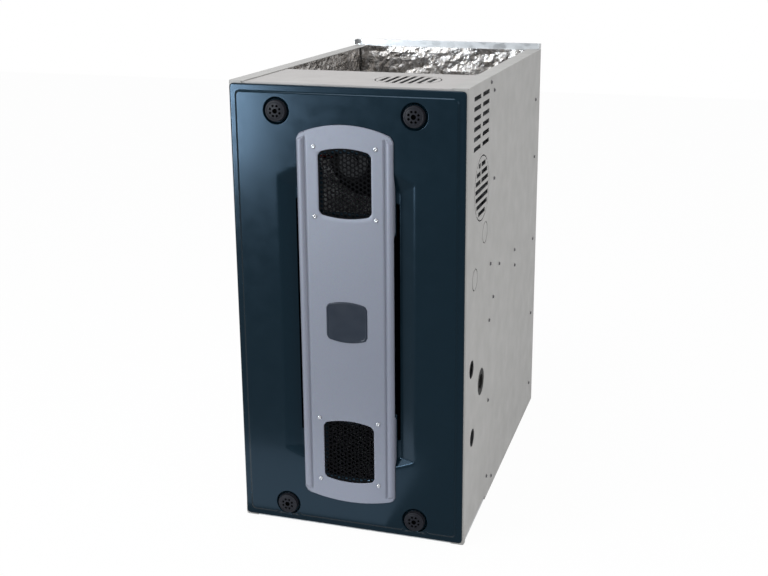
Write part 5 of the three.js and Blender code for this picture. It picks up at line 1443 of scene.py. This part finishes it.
def foil_slab(node, axis, toward):
    """A liner whose visible face is crumpled foil; its border keeps to the CAD's corners."""
    low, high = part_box(node)
    s, shell, along = settings("fittings"), Shell(), 1 - axis
    front, back = (high[axis], low[axis]) if toward > 0 else (low[axis], high[axis])
    wide, tall = (max(2, round(size / s.foil_grid)) for size in ((high - low)[along], high.z - low.z))

    def spot(u, v, shift):
        place = [0.0, 0.0, v]
        place[along], place[axis] = u, shift
        return place

    def face(i, j):
        u = low[along] + (high[along] - low[along]) * i / wide
        v = low.z + (high.z - low.z) * j / tall
        near = min(1.0, min(i, wide - i, j, tall - j) / 2.0)
        shift = crease((u, v, 7.0 * axis + toward), s.foil_crease) * near
        return spot(u, v, front + toward * min(shift, 0.6 * s.foil_crease))

    rows = shell.bands(([face(i, j) for i in range(wide + 1)] for j in range(tall + 1)),
                       closed=False)
    a, b, c, d = shell.row(spot(u, v, back) for u, v in (
        (low[along], low.z), (high[along], low.z), (high[along], high.z), (low[along], high.z)))
    left, right = ([row[end] for row in rows] for end in (0, -1))
    shell.faces += [(*rows[0][::-1], a, b), (*right[::-1], b, c), (*rows[-1], c, d), (*left, d, a),
                    (d, c, b, a)]
    made = shell.piece(node + "_foil", "foil_liner", False)
    face_outwards(made.data)
    return settle(made, "casing", "foil_liner", node)


class FURNACE_OT_liners(bpy.types.Operator):
    """Crumples the foil of the three insulating liners"""
    bl_idname = "furnace.liners"
    bl_label = "Foil Liners"

    def execute(self, context):
        foil_slab("left_liner", 0, 1.0)
        foil_slab("right_liner", 0, -1.0)
        foil_slab("rear_liner", 1, -1.0)
        return {"FINISHED"}


# ---- heat exchanger ----
def serpentine(low, high, passes, gap):
    """The middle line of one exchanger tube: level passes joined by half-round bends."""
    radius = (high.x - low.x) / 2.0
    x, bottom, top = (low.x + high.x) / 2.0, low.z + radius, high.z - radius
    pitch = (top - bottom) / (passes - 1)
    bend = pitch / 2.0
    rear, front, steps = high.y - radius - bend, low.y + gap + radius + bend, 16
    path = [(x, low.y, bottom)]
    for number in range(passes - 1):
        z = bottom + pitch * number
        centre, sign = (rear, 1.0) if number % 2 == 0 else (front, -1.0)
        for k in range(steps + 1):
            angle = math.pi * k / steps
            path.append((x, centre + sign * bend * math.sin(angle), z + bend * (1.0 - math.cos(angle))))
    path.append((x, low.y if passes % 2 == 0 else high.y - radius, top))
    return radius, path


class FURNACE_OT_exchanger(bpy.types.Operator):
    """Bends the four serpentine tubes of the heat exchanger"""
    bl_idname = "furnace.exchanger"
    bl_label = "Heat Exchanger"

    def execute(self, context):
        s = settings("fittings")
        cells = sorted(node for node in frame["nodes"] if node.startswith("exchanger_cell_"))
        boxes = [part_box(node) for node in cells]
        radius, path = serpentine(*boxes[0], s.cell_passes, s.cell_gap)
        pitch = boxes[1][0].x - boxes[0][0].x
        made = grow("exchanger_tubes", path_mesh("exchanger_path", path), sweep_tree(),
                    "aluminised", Radius=radius, Sides=s.cell_sides, Copies=len(cells),
                    Spacing=(pitch, 0.0, 0.0), Caps=False)
        settle(thicken(made, 1.2 * MM), "casing", "aluminised", *cells)
        return {"FINISHED"}


# ---- blower wheel ----
def curved_blade(inner, outer, half, sheet):
    """One forward-curved blade along X, its section running outward in the YZ plane."""
    steps, sweep = 8, 0.20
    middle = [(inner + (outer - inner) * k / steps, sweep * (k / steps) ** 1.7)
              for k in range(steps + 1)]
    near, far = ([(reach * math.cos(turn), reach * math.sin(turn) + offset) for reach, turn in middle]
                 for offset in (-0.5 * sheet, 0.5 * sheet))
    shell, section = Shell(), near + far[::-1]
    shell.bands([(x, y, z) for y, z in section] for x in (-half, half))
    count = len(section)
    for k in range(steps):
        a, b, c, d = k, k + 1, count - 2 - k, count - 1 - k
        shell.faces += [(a, d, c, b), (count + a, count + b, count + c, count + d)]
    return shell.piece("blade", "galvanised")


def revolved_mesh(name, loops, sides):
    """Rings round the X axis, each a closed loop of (x, radius) corners."""
    shell = Shell()
    for loop in loops:
        shell.bands(([(x, reach * y, reach * z) for x, reach in loop] for y, z in on_ring(1.0, sides)),
                    wrap=True)
    mesh = shell.mesh(name)
    face_outwards(mesh)
    return mesh


class FURNACE_OT_blower_wheel(bpy.types.Operator):
    """Rolls the blower wheel's rims and sets its blades round the shaft"""
    bl_idname = "furnace.blower_wheel"
    bl_label = "Blower Wheel"

    def execute(self, context):
        s, skin, sheet = settings("fittings"), 1.0 * MM, 3.0 * MM
        low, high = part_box("blower_wheel")
        centre = (low + high) / 2.0
        half, _, outer = high - centre
        inner, hub, long = outer - s.blade_depth, s.hub_radius, s.hub_length
        disc = [(-skin, hub), (skin, hub), (skin, outer - 0.5 * MM), (-skin, outer - 0.5 * MM)]
        boss = [(-long, s.hub_bore), (long, s.hub_bore), (long, hub - skin), (long - skin, hub),
                (skin - long, hub), (-long, hub - skin)]
        rim = [(half - sheet, inner - 2.0 * MM), (half, inner), (half, outer - skin),
               (half - skin, outer), (half - sheet, outer)]
        loops = [disc, boss] + [[(side * x, reach) for x, reach in rim] for side in (-1.0, 1.0)]
        blade = curved_blade(inner, outer - 1.5 * MM, half - 0.5 * sheet, 0.8 * MM)
        made = grow("blower_wheel_bladed", revolved_mesh("wheel_rings", loops, 96), wheel_tree(),
                    "galvanised", Blade=blade, Blades=s.blades, Centre=tuple(centre))
        bpy.data.objects.remove(blade)
        smooth_by_angle(made.data, 35.0)
        settle(made, "blower_rotor", "galvanised", "blower_wheel")
        return {"FINISHED"}


# ---- controls ----
def board_blocks():
    """Blocks on the control board in millimetres: finish, y, z, size, lift off it and height."""
    for z in (20.0, 52.0, 84.0):  # relays on their sockets
        yield "black_plastic", 10.0, z, (22.0, 24.0), 0.4, 16.2
        yield "ceramic", 11.0, z + 1.0, (20.0, 22.0), 0.0, 0.6
    yield "ceramic", 93.0, 30.0, (15.0, 125.0), 0.0, 3.6  # the strip of blade terminals
    for number in range(12):
        for y in (97.0, 103.0):
            yield "zinc_screw", y, 34.0 + 10.2 * number, (0.8, 6.3), 3.4, 7.4
    yield "ceramic", 10.0, 155.0, (73.0, 15.0), 0.0, 8.6  # the harness's plug
    for number in range(9):
        yield "black_plastic", 13.0 + 7.8 * number, 158.0, (4.6, 9.0), 8.0, 0.9
    for y, z, size in ((48, 80, (18, 11)), (48, 98, (24, 11)), (72, 60, (9, 9)), (70, 82, (12, 7))):
        yield "black_plastic", y, z, size, 0.0, 3.2  # chips on their legs
        for side in (-1.2, size[1]):
            for leg in range(int(size[0] // 3)):
                yield "zinc_screw", y + 1.0 + 3.0 * leg, z + side, (1.0, 1.2), 0.0, 2.0
    yield "red_wire", 70.0, 104.0, (6.0, 14.0), 0.0, 7.0  # the fuse


# Capacitors of the control board in millimetres: y, z, radius and height.
CAPACITORS = ((46, 30, 5.0, 12.0), (46, 46, 5.0, 12.0), (46, 62, 4.0, 9.0), (58, 36, 3.2, 8.0),
              (58, 120, 3.2, 8.0), (66, 120, 3.2, 8.0))


def board_pieces():
    """The control board: mask, posts, relays, terminals, chips, capacitors, resistors and a fuse."""
    low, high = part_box("control_board")
    face, inset = low.x + 8.6 * MM, 6.0 * MM
    groups = {name: bmesh.new() for name in ("circuit_board", "brass", "black_plastic", "ceramic",
                                             "motor_shell", "zinc_screw", "red_wire")}

    def stand(slot, y, z, start, end, radius, sides, *tip):
        add_rod(groups[slot], (start, y, z), (end, y, z), radius * MM, sides, *tip)

    add_box(groups["circuit_board"], (face - 1.6 * MM, low.y, low.z), (face, high.y, high.z))
    for y in (low.y + inset, high.y - inset):
        for z in (low.z + inset, high.z - inset):
            stand("brass", y, z, low.x, face, 3.0, 12)
            stand("zinc_screw", y, z, face, face + 2.2 * MM, 3.6, 16, 2.6 * MM)
    for slot, y, z, (wide, tall), lift, proud in board_blocks():
        add_box(groups[slot], (face + lift * MM, low.y + y * MM, low.z + z * MM),
                (face + (lift + proud) * MM, low.y + (y + wide) * MM, low.z + (z + tall) * MM))
    for y, z, radius, tall in CAPACITORS:
        spot, top = (low.y + y * MM, low.z + z * MM), face + tall * MM
        stand("motor_shell", *spot, face, top, radius, 20)
        stand("zinc_screw", *spot, top, top + 0.3 * MM, radius * 0.86, 20)
    for number in range(10):  # resistors in two rows
        y, z = low.y + (44.0 + 5.2 * (number % 5)) * MM, low.z + (132.0 + 8.0 * (number // 5)) * MM
        add_rod(groups["ceramic"], (face + 1.6 * MM, y, z), (face + 1.6 * MM, y, z + 5.0 * MM),
                1.2 * MM, 10)
    for name, bm in groups.items():
        sharp = [edge for edge in bm.edges
                 if len(edge.link_faces) == 2 and edge.calc_face_angle() > 1.2]
        bmesh.ops.bevel(bm, geom=sharp, offset=0.25 * MM, segments=1, affect="EDGES",
                        clamp_overlap=True)
        settle(piece_from("board_" + name, bm, name, 40.0), "casing", "circuit_board",
               "control_board")


def smooth_path(knots, steps=8):
    """Points of a smooth curve through the knots."""
    path = []
    for k in range(len(knots) - 1):
        p0, p1 = Vector(knots[max(0, k - 1)]), Vector(knots[k])
        p2, p3 = Vector(knots[k + 1]), Vector(knots[min(len(knots) - 1, k + 2)])
        for i in range(steps + (k == len(knots) - 2)):
            t = i / steps
            path.append(0.5 * (2.0 * p1 + (p2 - p0) * t + (2.0 * p0 - 5.0 * p1 + 4.0 * p2 - p3) * t * t
                               + (3.0 * p1 - p0 - 3.0 * p2 + p3) * t ** 3))
    return path


# The harness's route in millimetres, up from the deck and across to the control board.
HARNESS_KNOTS = ((-206.7, -265.5, 375.6), (-206.7, -265.5, 390.6), (-206.7, -240.9, 444.5),
                 (-206.7, -216.3, 530.6), (-206.7, -216.3, 633.9), (-182.0, -252.9, 692.4),
                 (-124.5, -289.6, 720.0), (-83.4, -289.6, 720.0), (-42.3, -289.6, 720.0))
# How far the wires turn round each other from point to point, and their place off the route.
HARNESS_TWIST, HARNESS_SPREAD = 0.22, 2.2


def harness_wires():
    """Four twisted wires along the harness's route, held by the board's plug and the motor."""
    s = settings("fittings")
    route = smooth_path([Vector(k) * MM for k in HARNESS_KNOTS])
    for number, slot in enumerate(("red_wire", "motor_shell", "ceramic", "silicone_hose")):
        wire = []
        for k, spot in enumerate(route):
            ahead = route[min(len(route) - 1, k + 1)] - route[max(0, k - 1)]
            side = ahead.cross(Vector((0.0, 1.0, 0.3))).normalized()
            lift = ahead.cross(side).normalized()
            turn = math.pi / 2.0 * number + k * HARNESS_TWIST
            off = (side * math.cos(turn) + lift * math.sin(turn)) * HARNESS_SPREAD * MM
            wire.append(spot + off)
        made = grow("harness_wire_%d" % (number + 1), path_mesh("wire", wire), sweep_tree(),
                    slot, Radius=s.wire_radius, Sides=10, Copies=1)
        settle(made, "casing", "red_wire", "wiring_harness")


class FURNACE_OT_controls(bpy.types.Operator):
    """Fills the control board and lays the wires of the harness"""
    bl_idname = "furnace.controls"
    bl_label = "Controls"

    def execute(self, context):
        board_pieces()
        harness_wires()
        return {"FINISHED"}


# ---- stage ----
# Name, place, aim, width, height, watts, colour, and whether the lamp only shows in gloss.
LAMPS = (("Key", (-2.3, -2.2, 1.9), (0.0, 0.0, 0.45), 1.3, 1.6, 46.0, (0.95, 0.98, 1.0), False),
         ("Fill", (2.9, -1.6, 1.6), (0.0, 0.0, 0.45), 1.6, 1.8, 36.0, (1.0, 0.98, 0.95), False),
         ("Top", (-0.3, -0.6, 2.6), (0.0, 0.0, 0.5), 0.9, 0.9, 26.0, (1.0, 1.0, 1.0), False),
         ("Strip", (-1.69, -3.0, 0.72), (-0.2, -0.36, 0.72), 0.50, 1.25, 110.0, (0.86, 0.94, 1.0),
          True),
         ("Low", (-0.22, -0.52, 0.004), (-0.22, -0.52, 1.0), 0.56, 0.26, 1.1, (0.9, 0.95, 1.0),
          True))


def softbox(name, spot, aim, width, height, power, colour, gloss_only):
    lamp = bpy.data.lights.new(name, "AREA")
    lamp.shape = "RECTANGLE"
    lamp.size, lamp.size_y = width, height
    lamp.energy, lamp.color = power, colour
    made = new_object(name, lamp)
    made.location = spot
    made.rotation_euler = (Vector(aim) - Vector(spot)).to_track_quat("-Z", "Y").to_euler()
    made.visible_diffuse = made.visible_camera = not gloss_only
    return made


def seen_rays(tree):
    """1 for what the camera sees straight, in gloss or through glass, and 0 for the light itself."""
    rays = add_node(tree, "ShaderNodeLightPath").outputs
    found = rays["Is Camera Ray"]
    for kind in ("Is Glossy Ray", "Is Transmission Ray"):
        found = add_node(tree, "ShaderNodeMath", {"operation": "MAXIMUM"}, _0=found, _1=rays[kind])
    return found


def mix_shaders(tree, share, first, second, end):
    """Shows the first shader where the share is 0 and the second where it is 1."""
    mix = add_node(tree, "ShaderNodeMixShader", Fac=share, _1=first, _2=second)
    tree.links.new(mix.outputs["Shader"], tree.nodes[end].inputs["Surface"])


def white_world(strength):
    """A white backdrop to the eye, and a soft light of that strength all round."""
    world = bpy.data.worlds.new("Studio")
    world.use_nodes = True
    tree = world.node_tree
    light = tree.nodes["Background"]
    light.inputs["Color"].default_value = (0.93, 0.96, 1.0, 1.0)
    light.inputs["Strength"].default_value = strength
    backdrop = add_node(tree, "ShaderNodeBackground", Color=WHITE, Strength=1.0)
    mix_shaders(tree, seen_rays(tree), light, backdrop, "World Output")
    bpy.context.scene.world = world


def pale_floor():
    """A floor that fades into the white backdrop and keeps the shadow."""
    reach, shell = 6.0, Shell()
    shell.faces.append(tuple(shell.row(((-reach, -reach, 0.0), (reach, -reach, 0.0),
                                        (reach, reach, 0.0), (-reach, reach, 0.0)))))
    finish = Finish("pale_floor", (0.84, 0.84, 0.84), 0.7, Specular_IOR_Level=0.2)
    finish.mottle(0.8, 0.01, 2.0)
    glow = finish.node("Emission", Color=WHITE, Strength=1.0)
    share = finish.ramp(seen_rays(finish.tree), 0.0, 1.0, 0.0, settings("stage").floor_white)
    mix_shaders(finish.tree, share, finish.shader, glow, "Material Output")
    floor = shell.piece("Floor", "pale_floor", False)
    floor.location.z = CAD_BOX[0].z - 1.0 * MM
    return floor


class FURNACE_OT_stage(bpy.types.Operator):
    """Sets the white surroundings, the pale floor, the soft lights and the camera"""
    bl_idname = "furnace.stage"
    bl_label = "Stage"

    def execute(self, context):
        s, scene = settings("stage"), context.scene
        scene.view_settings.view_transform = "Standard"
        white_world(s.world_light)
        camera = bpy.data.cameras.new("Camera")
        camera.sensor_width, camera.lens = 36.0, s.lens
        camera.shift_x, camera.shift_y = CAMERA_SHIFT
        viewer = new_object("Camera", camera)
        away = Vector((math.sin(s.azimuth) * math.cos(s.elevation),
                       -math.cos(s.azimuth) * math.cos(s.elevation), math.sin(s.elevation)))
        viewer.location = Vector(CAMERA_TARGET) + away * s.distance
        viewer.rotation_euler = (-away).to_track_quat("-Z", "Y").to_euler()
        scene.camera = viewer
        pale_floor()
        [softbox(*lamp) for lamp in LAMPS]
        return {"FINISHED"}


# ---- panel and registration ----
GROUPS = {"door": FURNACE_PG_door, "bezel": FURNACE_PG_bezel, "grille": FURNACE_PG_grille,
          "fittings": FURNACE_PG_fittings, "stage": FURNACE_PG_stage}
BUILD_ORDER = (FURNACE_OT_finishes, FURNACE_OT_door, FURNACE_OT_bezel, FURNACE_OT_grilles,
               FURNACE_OT_knobs, FURNACE_OT_rolled_edges, FURNACE_OT_fasteners, FURNACE_OT_liners,
               FURNACE_OT_exchanger, FURNACE_OT_blower_wheel, FURNACE_OT_controls,
               FURNACE_OT_stage)


class FURNACE_PT_panel(bpy.types.Panel):
    """Lists the settings and the steps of the dressing"""
    bl_label = "Furnace"
    bl_idname = "FURNACE_PT_panel"
    bl_space_type = "VIEW_3D"
    bl_region_type = "UI"
    bl_category = "Furnace"

    def draw(self, context):
        for step in BUILD_ORDER:
            self.layout.operator(step.bl_idname)
        for name, group in GROUPS.items():
            box = self.layout.box()
            box.label(text=name.title())
            for key in group.__annotations__:
                box.prop(settings(name), key)


def register():
    for group in GROUPS.values():
        bpy.utils.register_class(group)
    for step in BUILD_ORDER:
        bpy.utils.register_class(step)
    bpy.utils.register_class(FURNACE_PT_panel)
    for name, group in GROUPS.items():
        setattr(bpy.types.Scene, "furnace_" + name, PointerProperty(type=group))


def unregister():
    for name in GROUPS:
        delattr(bpy.types.Scene, "furnace_" + name)
    bpy.utils.unregister_class(FURNACE_PT_panel)
    for step in reversed(BUILD_ORDER):
        bpy.utils.unregister_class(step)
    for group in GROUPS.values():
        bpy.utils.unregister_class(group)


def main():
    register()
    for step in BUILD_ORDER:
        area, name = step.bl_idname.split(".")
        getattr(getattr(bpy.ops, area), name)()


if __name__ == "__main__":
    main()
